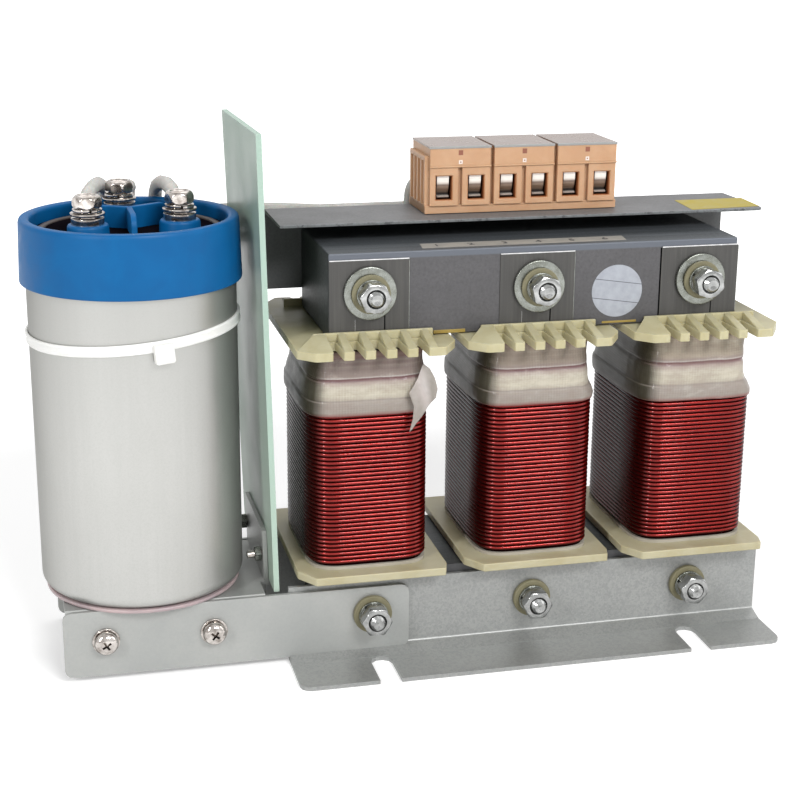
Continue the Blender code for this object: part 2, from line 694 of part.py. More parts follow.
def stacked_rings(name, levels, count, inner_levels=None):
    """A solid through outlines at several heights, like a lathe with a rounded square section."""
    shape = bmesh.new()
    rings = []
    for inset, height in levels:
        rings.append([shape.verts.new((x, y, height)) for x, y in winding_outline(inset, count)])
    if inner_levels is None:
        shape.faces.new(rings[-1])
        shape.faces.new(list(reversed(rings[0])))
        pairs = zip(rings, rings[1:])
    else:
        for inset, height in inner_levels:
            rings.append([shape.verts.new((x, y, height)) for x, y in winding_outline(inset, count)])
        pairs = zip(rings, rings[1:] + rings[:1])
    for lower, upper in pairs:
        for i in range(count):
            j = (i + 1) % count
            shape.faces.new((lower[i], lower[j], upper[j], upper[i]))
    bmesh.ops.recalc_face_normals(shape, faces=shape.faces)
    mesh = bpy.data.meshes.new(name)
    shape.to_mesh(mesh)
    shape.free()
    return new_object(name, mesh)


def make_winding(name, x):
    levels = []
    for turn in range(OPEN_TURNS):
        start = WINDING_BOTTOM + turn * WIRE_PITCH
        levels.append((WIRE_GROOVE, start))
        levels.append((0.0, start + WIRE_PITCH / 2))
    levels.append((WIRE_GROOVE, RIDGE_TOP))
    levels.append((TAPE_INSET, RIDGE_TOP + 0.0006))
    levels.append((TAPE_INSET, WINDING_TOP))
    winding = stacked_rings(name, levels, WINDING_POINTS)
    hole_x = LIMB_WIDTH / 2 + LIMB_CLEARANCE + BOBBIN_WALL + GAP
    hole_y = CORE_DEPTH / 2 + LIMB_CLEARANCE + BOBBIN_WALL + GAP
    hole = upright_tube_block("hole", hole_x, hole_y, WINDING_BOTTOM - 0.01, WINDING_TOP + 0.01)
    winding = cut(winding, [hole])
    winding.data.transform(Matrix.Translation((x, 0, 0)))
    finish(winding, ENAMELLED_COPPER, 30.0)


def make_tape_wrap(name, x):
    inner = TAPE_INSET - TAPE_CLEARANCE
    outer = inner - TAPE_THICKNESS
    bottom = RIDGE_TOP + 0.0010
    top = WINDING_TOP - 0.0010
    middle = (bottom + top) / 2
    levels = [
        (outer - TAPE_BULGE, bottom),
        (outer - TAPE_BULGE, middle),
        (outer, middle + TAPE_STEP),
        (outer, top),
    ]
    inner_levels = [(inner, top), (inner, bottom)]
    wrap = stacked_rings(name, levels, TAPE_POINTS, inner_levels)
    wrap.data.transform(Matrix.Translation((x, 0, 0)))
    finish(wrap, CLEAR_TAPE, 50.0)


def make_top_plate():
    left = PLATE_OFFSET_X - PLATE_LENGTH / 2
    right = PLATE_OFFSET_X + PLATE_LENGTH / 2
    profile = [
        (PLATE_FRONT, PLATE_TOP - PLATE_SHEET),
        (PLATE_WEB_FACE - PLATE_SHEET, PLATE_TOP - PLATE_SHEET),
        (PLATE_WEB_FACE - PLATE_SHEET, PLATE_TOP - PLATE_WEB_HEIGHT),
        (PLATE_WEB_FACE, PLATE_TOP - PLATE_WEB_HEIGHT),
        (PLATE_WEB_FACE, PLATE_TOP - PLATE_BEND),
        (PLATE_WEB_FACE - PLATE_BEND * 0.3, PLATE_TOP - PLATE_BEND * 0.3),
        (PLATE_WEB_FACE - PLATE_BEND, PLATE_TOP),
        (PLATE_FRONT, PLATE_TOP),
    ]
    plate = outline_plate("top_plate", [profile], right - left, Matrix.Translation((left, 0, 0)) @ ALONG_X)
    plate = cut(plate, bolt_cutters(UPPER_BOLT_Z, LIMB_X, CORE_BACK - 0.001, CORE_BACK + 0.01, BOLT_HOLE))
    finish(plate, PAINTED_GREY)


def ring_washer(name, diameter, thickness, x, face, z, finish_material, segments=12):
    """A washer whose rear face lies at y = face and whose thickness runs to the front."""
    outer = diameter / 2
    inner = BOLT_HOLE / 2
    profile = [(outer, thickness), (outer, 0.0), (inner, 0.0), (inner, thickness)]
    washer = turned(name, profile, segments, closed=True)
    washer.data.transform(Matrix.Translation((x, face, z)) @ Matrix.Rotation(math.pi / 2, 4, "X"))
    finish(washer, finish_material)


def make_nut(name, x, face, z):
    """A spring washer and its nut on the stud, the rear face at y = face."""
    spring_front = face - SPRING_WASHER_THICKNESS
    nut = hexagon(name, NUT_FLATS, (x, spring_front, z), (x, spring_front - NUT_HEIGHT, z))
    spring = cylinder(
        "spring", SPRING_WASHER_DIAMETER / 2, (x, face, z), (x, spring_front - 0.001, z), segments=10
    )
    nut = join(nut, [spring])
    bore = cylinder(
        "bore",
        BOLT_DIAMETER / 2 + GAP,
        (x, face + 0.01, z),
        (x, spring_front - NUT_HEIGHT - 0.01, z),
        segments=10,
    )
    nut = cut(nut, [bore])
    finish(nut, ZINC)


def make_bolt(name, x, z, head_face, stud_end):
    """A bolt from the rear: hexagon head with a collar washer at y = head_face, stud out at the front."""
    collar_back = head_face + BOLT_COLLAR_THICKNESS
    bolt = cylinder(name, BOLT_DIAMETER / 2, (x, stud_end, z), (x, collar_back, z), segments=10)
    collar_radius = BOLT_COLLAR_DIAMETER / 2
    collar = cylinder("collar", collar_radius, (x, head_face, z), (x, collar_back, z), segments=12)
    head_end = collar_back + BOLT_HEAD_HEIGHT
    head = hexagon("head", BOLT_HEAD_FLATS, (x, collar_back - 0.0002, z), (x, head_end, z))
    bolt = join(bolt, [collar, head])
    finish(bolt, ZINC)


def make_core_fasteners():
    for x, side in zip(LIMB_X, ("left", "centre", "right")):
        face = CORE_FRONT - LIMB_END_RAISE - GAP
        wide = (LARGE_WASHER_DIAMETER, LARGE_WASHER_THICKNESS)
        ring_washer(f"upper_washer_{side}", *wide, x, face, UPPER_BOLT_Z, ZINC, 16)
        face -= LARGE_WASHER_THICKNESS + GAP
        small = (UPPER_INSULATOR_DIAMETER, UPPER_INSULATOR_THICKNESS)
        ring_washer(f"upper_insulator_{side}", *small, x, face, UPPER_BOLT_Z, FIBRE)
        face -= UPPER_INSULATOR_THICKNESS + GAP
        make_nut(f"upper_nut_{side}", x, face, UPPER_BOLT_Z)
        stud_end = face - SPRING_WASHER_THICKNESS - NUT_HEIGHT - STUD_PROTRUSION
        make_bolt(f"upper_bolt_{side}", x, UPPER_BOLT_Z, PLATE_WEB_FACE + GAP, stud_end)

        on_strip = STRIP_LEFT < x < STRIP_RIGHT
        face = -(STRIP_FACE if on_strip else BRACKET_FACE) - GAP
        size = (LOWER_INSULATOR_DIAMETER, LOWER_INSULATOR_THICKNESS)
        ring_washer(f"lower_insulator_{side}", *size, x, face, LOWER_BOLT_Z, FIBRE)
        face -= LOWER_INSULATOR_THICKNESS + GAP
        make_nut(f"lower_nut_{side}", x, face, LOWER_BOLT_Z)
        stud_end = face - SPRING_WASHER_THICKNESS - NUT_HEIGHT - STUD_PROTRUSION
        rear = (STRIP_FACE if on_strip else BRACKET_FACE) + GAP
        make_bolt(f"lower_bolt_{side}", x, LOWER_BOLT_Z, rear, stud_end)


def module_centres():
    middle = (MODULE_COUNT - 1) / 2
    poles = POLE_COUNT // MODULE_COUNT
    return [BLOCK_OFFSET_X + (i - middle) * poles * POLE_PITCH for i in range(MODULE_COUNT)]


def pole_x(index):
    return BLOCK_OFFSET_X + (index - (POLE_COUNT - 1) / 2) * POLE_PITCH


def make_terminal_module(name, x):
    poles = POLE_COUNT // MODULE_COUNT
    pitch = poles * POLE_PITCH
    half = (pitch - MODULE_GAP) / 2
    front = BLOCK_FRONT_Y + PANEL_PROUD
    top = BLOCK_BOTTOM + BLOCK_HEIGHT
    base_top = BLOCK_BOTTOM + BASE_HEIGHT
    body = box(name, (x - half, front, BLOCK_BOTTOM + 0.001), (x + half, BLOCK_REAR, top))
    wide = pitch / 2 - GAP / 2
    pieces = [
        box("base", (x - wide, front, BLOCK_BOTTOM), (x + wide, BLOCK_REAR - 0.001, base_top)),
        box("band", (x - half, BLOCK_FRONT_Y, top - BAND_HEIGHT), (x + half, front + 0.001, top - 0.0004)),
    ]
    cutters = []
    for i in range(poles):
        centre = x + (i - (poles - 1) / 2) * POLE_PITCH
        pieces.append(
            box(
                "panel",
                (centre - PANEL_WIDTH / 2, BLOCK_FRONT_Y + 0.0002, base_top - 0.0002),
                (centre + PANEL_WIDTH / 2, front + 0.001, top - BAND_HEIGHT + 0.001),
            )
        )
        low_z = BLOCK_BOTTOM + POLE_OPENING_RISE
        high_z = low_z + POLE_OPENING_HEIGHT
        left = centre - POLE_OPENING_WIDTH / 2
        right = centre + POLE_OPENING_WIDTH / 2
        for y0, y1 in (
            (BLOCK_FRONT_Y - 0.01, front + POLE_OPENING_DEPTH),
            (BLOCK_REAR - POLE_OPENING_DEPTH, BLOCK_REAR + 0.01),
        ):
            cutters.append(box("opening", (left, y0, low_z), (right, y1, high_z)))
    body = join(body, pieces)
    body = cut(body, cutters)
    finish(body, TERMINAL_PLASTIC)


def make_terminal_end_plate():
    poles = POLE_COUNT // MODULE_COUNT
    right = module_centres()[0] - poles * POLE_PITCH / 2 - GAP
    left = right - END_PLATE_THICKNESS
    front = BLOCK_FRONT_Y + PANEL_PROUD + 0.0006
    back = BLOCK_REAR - 0.002
    top = BLOCK_BOTTOM + END_PLATE_HEIGHT
    plate = box("terminal_end_plate", (left, front, BLOCK_BOTTOM), (right, back, top))
    ribs = []
    for y in (front + 0.004, (front + back) / 2, back - 0.004):
        low = (left - END_RIB_PROUD, y - END_RIB_WIDTH / 2, BLOCK_BOTTOM + 0.0005)
        high = (left + 0.0005, y + END_RIB_WIDTH / 2, top - 0.002)
        ribs.append(box("rib", low, high))
    plate = join(plate, ribs)
    finish(plate, TERMINAL_PLASTIC)


def make_strip(name, side):
    """side 1 is the front strip, -1 the rear one."""
    low = (STRIP_LEFT, STRIP_BOTTOM)
    high = (STRIP_RIGHT, STRIP_BOTTOM + STRIP_HEIGHT)
    outlines = [rounded_rectangle(low, high, STRIP_CORNER)]
    for x in STRIP_SCREW_X:
        outlines.append(circle_points((x, STRIP_SCREW_Z), STRIP_SCREW_HOLE / 2, 10))
    for x in LIMB_X:
        if STRIP_LEFT < x < STRIP_RIGHT:
            outlines.append(circle_points((x, LOWER_BOLT_Z), BOLT_HOLE / 2, 10))
    face = -(STRIP_FACE - STRIP_SHEET) if side > 0 else STRIP_FACE
    strip = outline_plate(name, outlines, STRIP_SHEET, Matrix.Translation((0, face, 0)) @ FACING_FRONT)
    finish(strip, GALVANISED)


def leaned(piece):
    """Lean a piece with the barrier about the tray's end edge."""
    pivot = Vector((BARRIER_X, 0.0, TRAY_TOP))
    turn = Matrix.Translation(pivot) @ Matrix.Rotation(-BARRIER_LEAN, 4, "Y") @ Matrix.Translation(-pivot)
    piece.data.transform(turn)
    return piece


def make_tray():
    tab_right = BARRIER_X - GAP
    tab_left = tab_right - TRAY_SHEET
    outside = STRIP_FACE - STRIP_SHEET - GAP
    inside = outside - TRAY_SHEET
    bottom = TRAY_TOP - TRAY_FLANGE_HEIGHT
    under = TRAY_TOP - TRAY_SHEET
    profile = [
        (-outside, bottom),
        (-outside, TRAY_TOP - 0.0015),
        (-outside + 0.0015, TRAY_TOP),
        (outside - 0.0015, TRAY_TOP),
        (outside, TRAY_TOP - 0.0015),
        (outside, bottom),
        (inside, bottom),
        (inside, under),
        (-inside, under),
        (-inside, bottom),
    ]
    flange_end = tab_left - 0.002
    channel = Matrix.Translation((TRAY_LEFT, 0, 0)) @ ALONG_X
    tray = outline_plate("capacitor_tray", [profile], flange_end - TRAY_LEFT, channel)
    neck_low = (flange_end - 0.001, TAB_FRONT, under + 0.00005)
    neck_high = (tab_right - 0.0003, TAB_BACK - 0.0005, TRAY_TOP - 0.00005)
    neck = box("neck", neck_low, neck_high)
    tab = leaned(box("tab", (tab_left, TAB_FRONT, under), (tab_right, TAB_BACK, TRAY_TOP + TAB_HEIGHT)))
    tray = join(tray, [neck, tab])
    holes = []
    for x in STRIP_SCREW_X:
        holes.append(
            cylinder(
                "hole",
                STRIP_SCREW_HOLE / 2,
                (x, -STRIP_FACE - 0.01, STRIP_SCREW_Z),
                (x, STRIP_FACE + 0.01, STRIP_SCREW_Z),
                segments=10,
            )
        )
    for y in BARRIER_SCREW_Y:
        z = TRAY_TOP + BARRIER_SCREW_RISE
        ends = ((tab_left - 0.01, y, z), (tab_right + 0.01, y, z))
        holes.append(leaned(cylinder("hole", BARRIER_SCREW_HOLE / 2, *ends, segments=10)))
    tray = cut(tray, holes)
    finish(tray, GALVANISED)


def make_barrier():
    bottom = TRAY_TOP + BARRIER_CLEARANCE
    outlines = [
        [
            (BARRIER_FRONT, bottom),
            (BARRIER_BACK, bottom),
            (BARRIER_BACK, bottom + BARRIER_HEIGHT),
            (BARRIER_FRONT, bottom + BARRIER_HEIGHT),
        ]
    ]
    for y in BARRIER_SCREW_Y:
        outlines.append(circle_points((y, TRAY_TOP + BARRIER_SCREW_RISE), BARRIER_SCREW_HOLE / 2, 10))
    place = Matrix.Translation((BARRIER_X, 0, 0)) @ ALONG_X
    sheet = outline_plate("barrier_sheet", outlines, BARRIER_THICKNESS, place)
    finish(leaned(sheet), BARRIER_LAMINATE)


def make_barrier_screw(name, y):
    """A pan head screw from the reactor side with its nut on the capacitor side, through sheet and tab."""
    z = TRAY_TOP + BARRIER_SCREW_RISE
    head_face = BARRIER_X + BARRIER_THICKNESS + GAP
    nut_face = BARRIER_X - GAP - TRAY_SHEET - GAP
    nut_end = nut_face - BARRIER_NUT_HEIGHT
    shank_end = nut_end - BARRIER_SCREW_END
    screw = cylinder(
        name, BARRIER_SCREW_DIAMETER / 2, (shank_end, y, z), (head_face + 0.001, y, z), segments=8
    )
    head_end = head_face + BARRIER_SCREW_HEAD_HEIGHT
    head = cylinder("head", BARRIER_SCREW_HEAD / 2, (head_face, y, z), (head_end, y, z), segments=10)
    nut = hexagon("nut", BARRIER_NUT_FLATS, (nut_end, y, z), (nut_face, y, z))
    screw = join(screw, [head, nut])
    finish(leaned(screw), ZINC)


def make_strip_screw(name, x, side):
    """A pan head screw with its washer, through strip and tray flange."""
    face = STRIP_FACE + GAP
    washer_face = face + STRIP_SCREW_WASHER_THICKNESS
    top = washer_face + STRIP_SCREW_HEAD_HEIGHT
    shank = STRIP_SCREW_DIAMETER / 2
    head = STRIP_SCREW_HEAD / 2
    profile = [
        (0.0, top),
        (head * 0.7, top),
        (head, washer_face),
        (STRIP_SCREW_WASHER / 2, washer_face),
        (STRIP_SCREW_WASHER / 2, face),
        (shank, face),
        (shank, face - STRIP_SCREW_LENGTH),
        (0.0, face - STRIP_SCREW_LENGTH),
    ]
    screw = turned(name, profile, 10)
    turn = math.pi / 2 if side > 0 else -math.pi / 2
    screw.data.transform(Matrix.Translation((x, 0, STRIP_SCREW_Z)) @ Matrix.Rotation(turn, 4, "X"))
    finish(screw, ZINC)


def at_capacitor(piece):
    piece.data.transform(Matrix.Translation((CAPACITOR_X, 0, 0)))
    return piece


def make_can():
    profile = [(0.0, CAN_TOP), (CAN_RADIUS, CAN_TOP)]
    for i in range(4):
        angle = math.pi / 2 * i / 3
        radius = CAN_RADIUS - CAN_BASE_ROUND * (1 - math.cos(angle))
        profile.append((radius, CAN_BOTTOM + CAN_BASE_ROUND * (1 - math.sin(angle))))
    profile.append((0.0, CAN_BOTTOM))
    finish(at_capacitor(turned("capacitor_can", profile, 30)), CAN_ALUMINIUM)

    pad_top = PAD_BOTTOM + PAD_THICKNESS
    pad = [(0.0, pad_top), (PAD_RADIUS, pad_top), (PAD_RADIUS, PAD_BOTTOM), (0.0, PAD_BOTTOM)]
    finish(at_capacitor(turned("base_pad", pad, 24)), PAD_PLASTIC)


def make_cap_ring():
    seat = CAN_TOP + GAP
    bore = CAN_RADIUS + GAP
    profile = [
        (RING_INNER_RADIUS, RING_TOP - RING_ROUND),
        (RING_INNER_RADIUS + RING_ROUND, RING_TOP),
        (RING_RADIUS - RING_ROUND, RING_TOP),
        (RING_RADIUS, RING_TOP - RING_ROUND),
        (RING_RADIUS, RING_BOTTOM),
        (bore, RING_BOTTOM),
        (bore, seat),
        (RING_INNER_RADIUS, seat),
    ]
    finish(at_capacitor(turned("cap_ring", profile, 30, closed=True)), CAP_PLASTIC)


def post_position(index):
    angle = POST_PHASE + index * 2 * math.pi / 3
    return CAPACITOR_X + POST_CIRCLE * math.cos(angle), POST_CIRCLE * math.sin(angle)


def make_dividing_wall(angle):
    """One wall of the three-way divider, its outer top corner rounded."""
    bottom = LID_TOP - 0.001
    top = LID_TOP + WALL_HEIGHT
    profile = [(-0.0002, bottom), (WALL_LENGTH, bottom)]
    profile += arc_points((WALL_LENGTH - WALL_ROUND, top - WALL_ROUND), WALL_ROUND, 0, math.pi / 2, 4)
    profile.append((-0.0002, top))
    spin = Matrix.Translation((CAPACITOR_X, 0, 0)) @ Matrix.Rotation(angle, 4, "Z")
    return outline_plate(
        "wall",
        [profile],
        WALL_THICKNESS,
        spin @ Matrix.Translation((0, WALL_THICKNESS / 2, 0)) @ FACING_FRONT,
    )


def make_lid():
    radius = RING_INNER_RADIUS - GAP
    disc = [(0.0, LID_TOP), (radius, LID_TOP), (radius, LID_BOTTOM), (0.0, LID_BOTTOM)]
    lid = at_capacitor(turned("capacitor_lid", disc, 24))
    pieces = []
    for i in range(3):
        x, y = post_position(i)
        pieces.append(cylinder("boss", BOSS_RADIUS, (x, y, LID_TOP - 0.001), (x, y, BOSS_TOP), segments=14))
    for i in range(3):
        pieces.append(make_dividing_wall(POST_PHASE + math.pi / 3 + i * 2 * math.pi / 3))
    lid = join(lid, pieces)
    finish(lid, CAP_PLASTIC)


def make_terminal_bolt(name, index):
    """Terminal collar, lug of the lead, washers and hexagon head on one capacitor post."""
    x, y = post_position(index)
    z0 = BOSS_TOP + GAP
    z1 = z0 + POST_COLLAR_HEIGHT + LUG_THICKNESS
    z2 = z1 + POST_WASHER_THICKNESS
    z3 = z2 + POST_SPRING_THICKNESS
    profile = [
        (0.0, z3 + 0.0005),
        (POST_SPRING_RADIUS, z3 + 0.0005),
        (POST_SPRING_RADIUS, z2),
        (POST_WASHER_RADIUS, z2),
        (POST_WASHER_RADIUS, z1),
        (POST_COLLAR_RADIUS, z1),
        (POST_COLLAR_RADIUS, z0),
        (0.0, z0),
    ]
    bolt = turned(name, profile, 12)
    bolt.data.transform(Matrix.Translation((x, y, 0)))
    head = hexagon("head", BOLT_HEAD_FLATS, (x, y, z3), (x, y, z3 + BOLT_HEAD_HEIGHT))
    tongue_low = z0 + POST_COLLAR_HEIGHT
    tongue = box(
        "tongue",
        (x - LUG_WIDTH / 2, y, tongue_low),
        (x + LUG_WIDTH / 2, y + LUG_REACH - 0.0015, tongue_low + LUG_THICKNESS + 0.0001),
    )
    barrel = cylinder(
        "barrel",
        LUG_BARREL_RADIUS,
        (x, y + POST_WASHER_RADIUS + 0.0004, lug_height()),
        (x, y + LUG_REACH, lug_height()),
        segments=8,
    )
    bolt = join(bolt, [head, tongue, barrel])
    finish(bolt, ZINC)


def lug_height():
    """Height of the crimp barrel's axis, the tongue of the lug running into its lower half."""
    return BOSS_TOP + GAP + POST_COLLAR_HEIGHT + LUG_THICKNESS + LUG_BARREL_RADIUS * 0.4


def make_cable_tie():
    inner = CAN_RADIUS / math.cos(TIE_TILT) + GAP
    outer = inner + TIE_THICKNESS
    half = TIE_WIDTH / 2
    section = [(outer, half), (outer, -half), (inner, -half), (inner, half)]
    band = turned("cable_tie", section, 28, closed=True)
    wide, deep, tall = TIE_HEAD
    reach = outer - TIE_THICKNESS * 0.7
    head_low = (reach, -wide / 2, -tall / 2 - TIE_HEAD_DROP)
    head_high = (reach + deep, wide / 2, tall / 2 - TIE_HEAD_DROP)
    head = box("head", head_low, head_high)
    head.data.transform(Matrix.Rotation(TIE_HEAD_ANGLE, 4, "Z"))
    band = join(band, [head])
    place = Matrix.Translation((CAPACITOR_X, 0, CAN_BOTTOM + TIE_HEIGHT))
    place = place @ Matrix.Rotation(-TIE_TILT, 4, "Y")
    band.data.transform(place)
    finish(band, NYLON)


def smooth_route(points, samples):
    """Catmull-Rom points through the route, ends included, with none added on a straight stretch."""
    path = [Vector(p) for p in points]
    padded = [2 * path[0] - path[1]] + path + [2 * path[-1] - path[-2]]
    smooth = []
    for i in range(1, len(padded) - 2):
        p0, p1, p2, p3 = padded[i - 1 : i + 3]
        bend = (p2 - p1).angle(p1 - p0, 0.0) + (p3 - p2).angle(p2 - p1, 0.0)
        count = samples if bend > LEAD_STRAIGHT else 1
        for step in range(count):
            t = step / count
            slope = (p2 - p0) * t
            square = (2 * p0 - 5 * p1 + 4 * p2 - p3) * t * t
            cube = (3 * p1 - p0 - 3 * p2 + p3) * t**3
            smooth.append(0.5 * (2 * p1 + slope + square + cube))
    smooth.append(path[-1])
    return smooth


def lead_route(index):
    """From the lug over the ring's rim, down behind it, past the barrier's rear edge, up to the block."""
    x, y = post_position(index)
    start_y = y + LUG_REACH + GAP
    leg_x = CAPACITOR_X + LEAD_LEG_X[index]
    rim_y = math.sqrt(RING_RADIUS**2 - (leg_x - CAPACITOR_X) ** 2)
    over_rim = RING_TOP + LEAD_RADIUS + LEAD_CLEARANCE
    arch = max(over_rim, lug_height() + LEAD_ARCH_RISE)
    back_y = RING_RADIUS + LEAD_RADIUS + LEAD_CLEARANCE
    run_z = RING_TOP - LEAD_FIRST_RUN - LEAD_RUNS[index] * LEAD_RUN_SPACING
    past_y = BARRIER_BACK + LEAD_RADIUS + 2 * LEAD_CLEARANCE
    pole = pole_x(LEAD_POLES[index])
    shift = leg_x - x
    points = [(x, start_y, lug_height())]
    points.append((x, start_y + LEAD_OUT, lug_height()))
    if y < 0:
        points.append((x + shift * 0.15, start_y + LEAD_ARCH_NEAR, arch - LEAD_ARCH_SAG))
        points.append((x + shift * 0.45, start_y + LEAD_ARCH_MIDDLE, arch))
        points.append((x + shift * 0.75, rim_y - LEAD_ARCH_FAR, arch - LEAD_ARCH_SAG))
    points.append((leg_x, rim_y - LEAD_RIM_NEAR, over_rim + LEAD_RIM_LIFT))
    points.append((leg_x, rim_y + LEAD_RADIUS + LEAD_CLEARANCE, RING_TOP + LEAD_RIM_TURN))
    points.append((leg_x, back_y, RING_TOP - LEAD_DROP))
    points.append((leg_x + LEAD_TURN_SIDE, back_y, run_z + LEAD_TURN_UP))
    points.append((leg_x + LEAD_TURN_END, back_y, run_z))
    points.append((BARRIER_X - LEAD_BARRIER_APPROACH, back_y + LEAD_SWING_BULGE, run_z))
    points.append((BARRIER_X - LEAD_BARRIER_NEAR, past_y - LEAD_CLEARANCE, run_z))
    points.append((BARRIER_X + LEAD_BARRIER_PAST, past_y, run_z))
    points.append((BARRIER_X + LEAD_SWING_MIDDLE, (past_y + LEAD_BACK_Y) / 2 + LEAD_SWING_BULGE, run_z))
    points.append((BARRIER_X + LEAD_SWING_END, LEAD_BACK_Y, run_z))
    points.append((pole - LEAD_RISER_START, LEAD_BACK_Y, run_z))
    points.append((pole - LEAD_RISER_SIDE, LEAD_BACK_Y, run_z + LEAD_RISER_LIFT))
    points.append((pole, LEAD_BACK_Y, run_z + LEAD_RISER_FIRST))
    points.append((pole, LEAD_BACK_Y - LEAD_ARCH_SAG, SOCKET_Z - LEAD_ENTRY_DROP))
    points.append((pole, LEAD_BACK_Y - LEAD_ENTRY_OUT, SOCKET_Z - LEAD_RIM_LIFT))
    points.append((pole, BLOCK_REAR - LEAD_SOCKET_DEPTH, SOCKET_Z))
    return points


def make_lead(name, index):
    curve = bpy.data.curves.new(name, "CURVE")
    curve.dimensions = "3D"
    curve.bevel_depth = LEAD_RADIUS
    curve.bevel_resolution = 2
    curve.use_fill_caps = True
    points = smooth_route(lead_route(index), LEAD_SAMPLES)
    spline = curve.splines.new("POLY")
    spline.points.add(len(points) - 1)
    for slot, point in zip(spline.points, points):
        slot.co = (*point, 1.0)
    made = new_object(name, curve)
    bpy.context.view_layer.update()
    finish(flatten(made), LEAD_SLEEVE, 60.0)


def build():
    make_core()
    make_foot_bracket("front_foot_bracket", 1)
    make_foot_bracket("rear_foot_bracket", -1)
    for x, side in zip(LIMB_X, ("left", "centre", "right")):
        make_bobbin(f"bobbin_{side}", x)
        make_winding(f"winding_{side}", x)
        make_tape_wrap(f"tape_wrap_{side}", x)
    make_top_plate()
    make_core_fasteners()
    for number, x in enumerate(module_centres(), start=1):
        make_terminal_module(f"terminal_module_{number}", x)
    make_terminal_end_plate()
    make_strip("front_strip", 1)
    make_strip("rear_strip", -1)
    make_tray()
    make_barrier()
    for number, y in enumerate(BARRIER_SCREW_Y, start=1):
        make_barrier_screw(f"barrier_screw_{number}", y)
    for number, x in enumerate(STRIP_SCREW_X, start=1):
        make_strip_screw(f"front_strip_screw_{number}", x, 1)
        make_strip_screw(f"rear_strip_screw_{number}", x, -1)
    make_can()
    make_cap_ring()
    make_lid()
    for index in range(3):
        make_terminal_bolt(f"capacitor_terminal_{index + 1}", index)
        make_lead(f"capacitor_lead_{index + 1}", index)
    make_cable_tie()


build()
bpy.context.view_layer.update()
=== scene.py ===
"""Dressed scene of the sine wave filter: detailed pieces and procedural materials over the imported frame.

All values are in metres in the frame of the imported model: X to the right along the core, Y to the
rear, Z up, with the floor at Z = 0.
"""
import math
import random

import bmesh
import bpy
from mathutils import Matrix, Vector, noise


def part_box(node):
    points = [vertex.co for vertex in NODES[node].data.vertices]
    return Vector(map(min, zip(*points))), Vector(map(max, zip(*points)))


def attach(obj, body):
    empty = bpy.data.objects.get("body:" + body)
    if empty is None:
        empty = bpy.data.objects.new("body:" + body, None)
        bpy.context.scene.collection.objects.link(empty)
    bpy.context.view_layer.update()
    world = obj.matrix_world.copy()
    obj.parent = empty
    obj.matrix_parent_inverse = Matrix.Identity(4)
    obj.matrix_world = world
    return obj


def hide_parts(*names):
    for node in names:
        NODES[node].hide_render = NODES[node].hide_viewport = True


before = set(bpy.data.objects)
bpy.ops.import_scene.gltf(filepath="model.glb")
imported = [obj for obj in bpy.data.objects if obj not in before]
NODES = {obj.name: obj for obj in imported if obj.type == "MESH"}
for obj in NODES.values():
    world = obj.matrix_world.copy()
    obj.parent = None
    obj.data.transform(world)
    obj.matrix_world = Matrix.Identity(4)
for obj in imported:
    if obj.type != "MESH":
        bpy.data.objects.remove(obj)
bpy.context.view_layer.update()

SIDES = ("left", "centre", "right")
CORE_X = 0.058
LIMB_PITCH = 0.080
LIMB_X = {side: CORE_X + (i - 1) * LIMB_PITCH for i, side in enumerate(SIDES)}
FACING_FRONT = Matrix.Rotation(math.pi / 2, 4, "X")
FACING_REAR = Matrix.Rotation(-math.pi / 2, 4, "X")
FULL_TURN = 2 * math.pi


# ---------------------------------------------------------------------------
# Node trees
# ---------------------------------------------------------------------------

def rgb(red, green, blue):
    """Linear colour from values of 0 to 255 as a screen shows them."""
    values = []
    for value in (red, green, blue):
        part = value / 255
        values.append(part / 12.92 if part <= 0.04045 else ((part + 0.055) / 1.055) ** 2.4)
    return (*values, 1.0)


def grey(level):
    return (level, level, level, 1.0)


def add(tree, kind, inputs=None, **settings):
    """Add a shader node; an input that is a socket is linked, any other is set."""
    made = tree.nodes.new(kind)
    for key, value in settings.items():
        setattr(made, key, value)
    for key, value in (inputs or {}).items():
        if isinstance(value, bpy.types.NodeSocket):
            tree.links.new(value, made.inputs[key])
        else:
            made.inputs[key].default_value = value
    return made


def coordinates(tree, stretch=(1, 1, 1), turn=(0, 0, 0)):
    source = add(tree, "ShaderNodeTexCoord").outputs["Object"]
    mapping = add(tree, "ShaderNodeMapping", {"Vector": source, "Scale": stretch, "Rotation": turn})
    return mapping.outputs["Vector"]


def axis_value(tree, axis):
    source = add(tree, "ShaderNodeTexCoord").outputs["Object"]
    return add(tree, "ShaderNodeSeparateXYZ", {"Vector": source}).outputs[axis]


def normal_value(tree, axis):
    source = add(tree, "ShaderNodeNewGeometry").outputs["True Normal"]
    return add(tree, "ShaderNodeSeparateXYZ", {"Vector": source}).outputs[axis]


def grain(tree, vector, scale, detail=3.0, roughness=0.5, distortion=0.0):
    inputs = {"Vector": vector, "Scale": scale, "Detail": detail, "Roughness": roughness, "Distortion": distortion}
    return add(tree, "ShaderNodeTexNoise", inputs).outputs["Fac"]


def cells(tree, vector, scale, feature="F1", output="Color"):
    return add(tree, "ShaderNodeTexVoronoi", {"Vector": vector, "Scale": scale}, feature=feature).outputs[output]


def calc(tree, operation, first, second=0.0, third=0.0):
    return add(tree, "ShaderNodeMath", {0: first, 1: second, 2: third}, operation=operation).outputs[0]


def remap(tree, value, low, high, to_low=0.0, to_high=1.0):
    inputs = {"Value": value, "From Min": low, "From Max": high, "To Min": to_low, "To Max": to_high}
    return add(tree, "ShaderNodeMapRange", inputs).outputs["Result"]


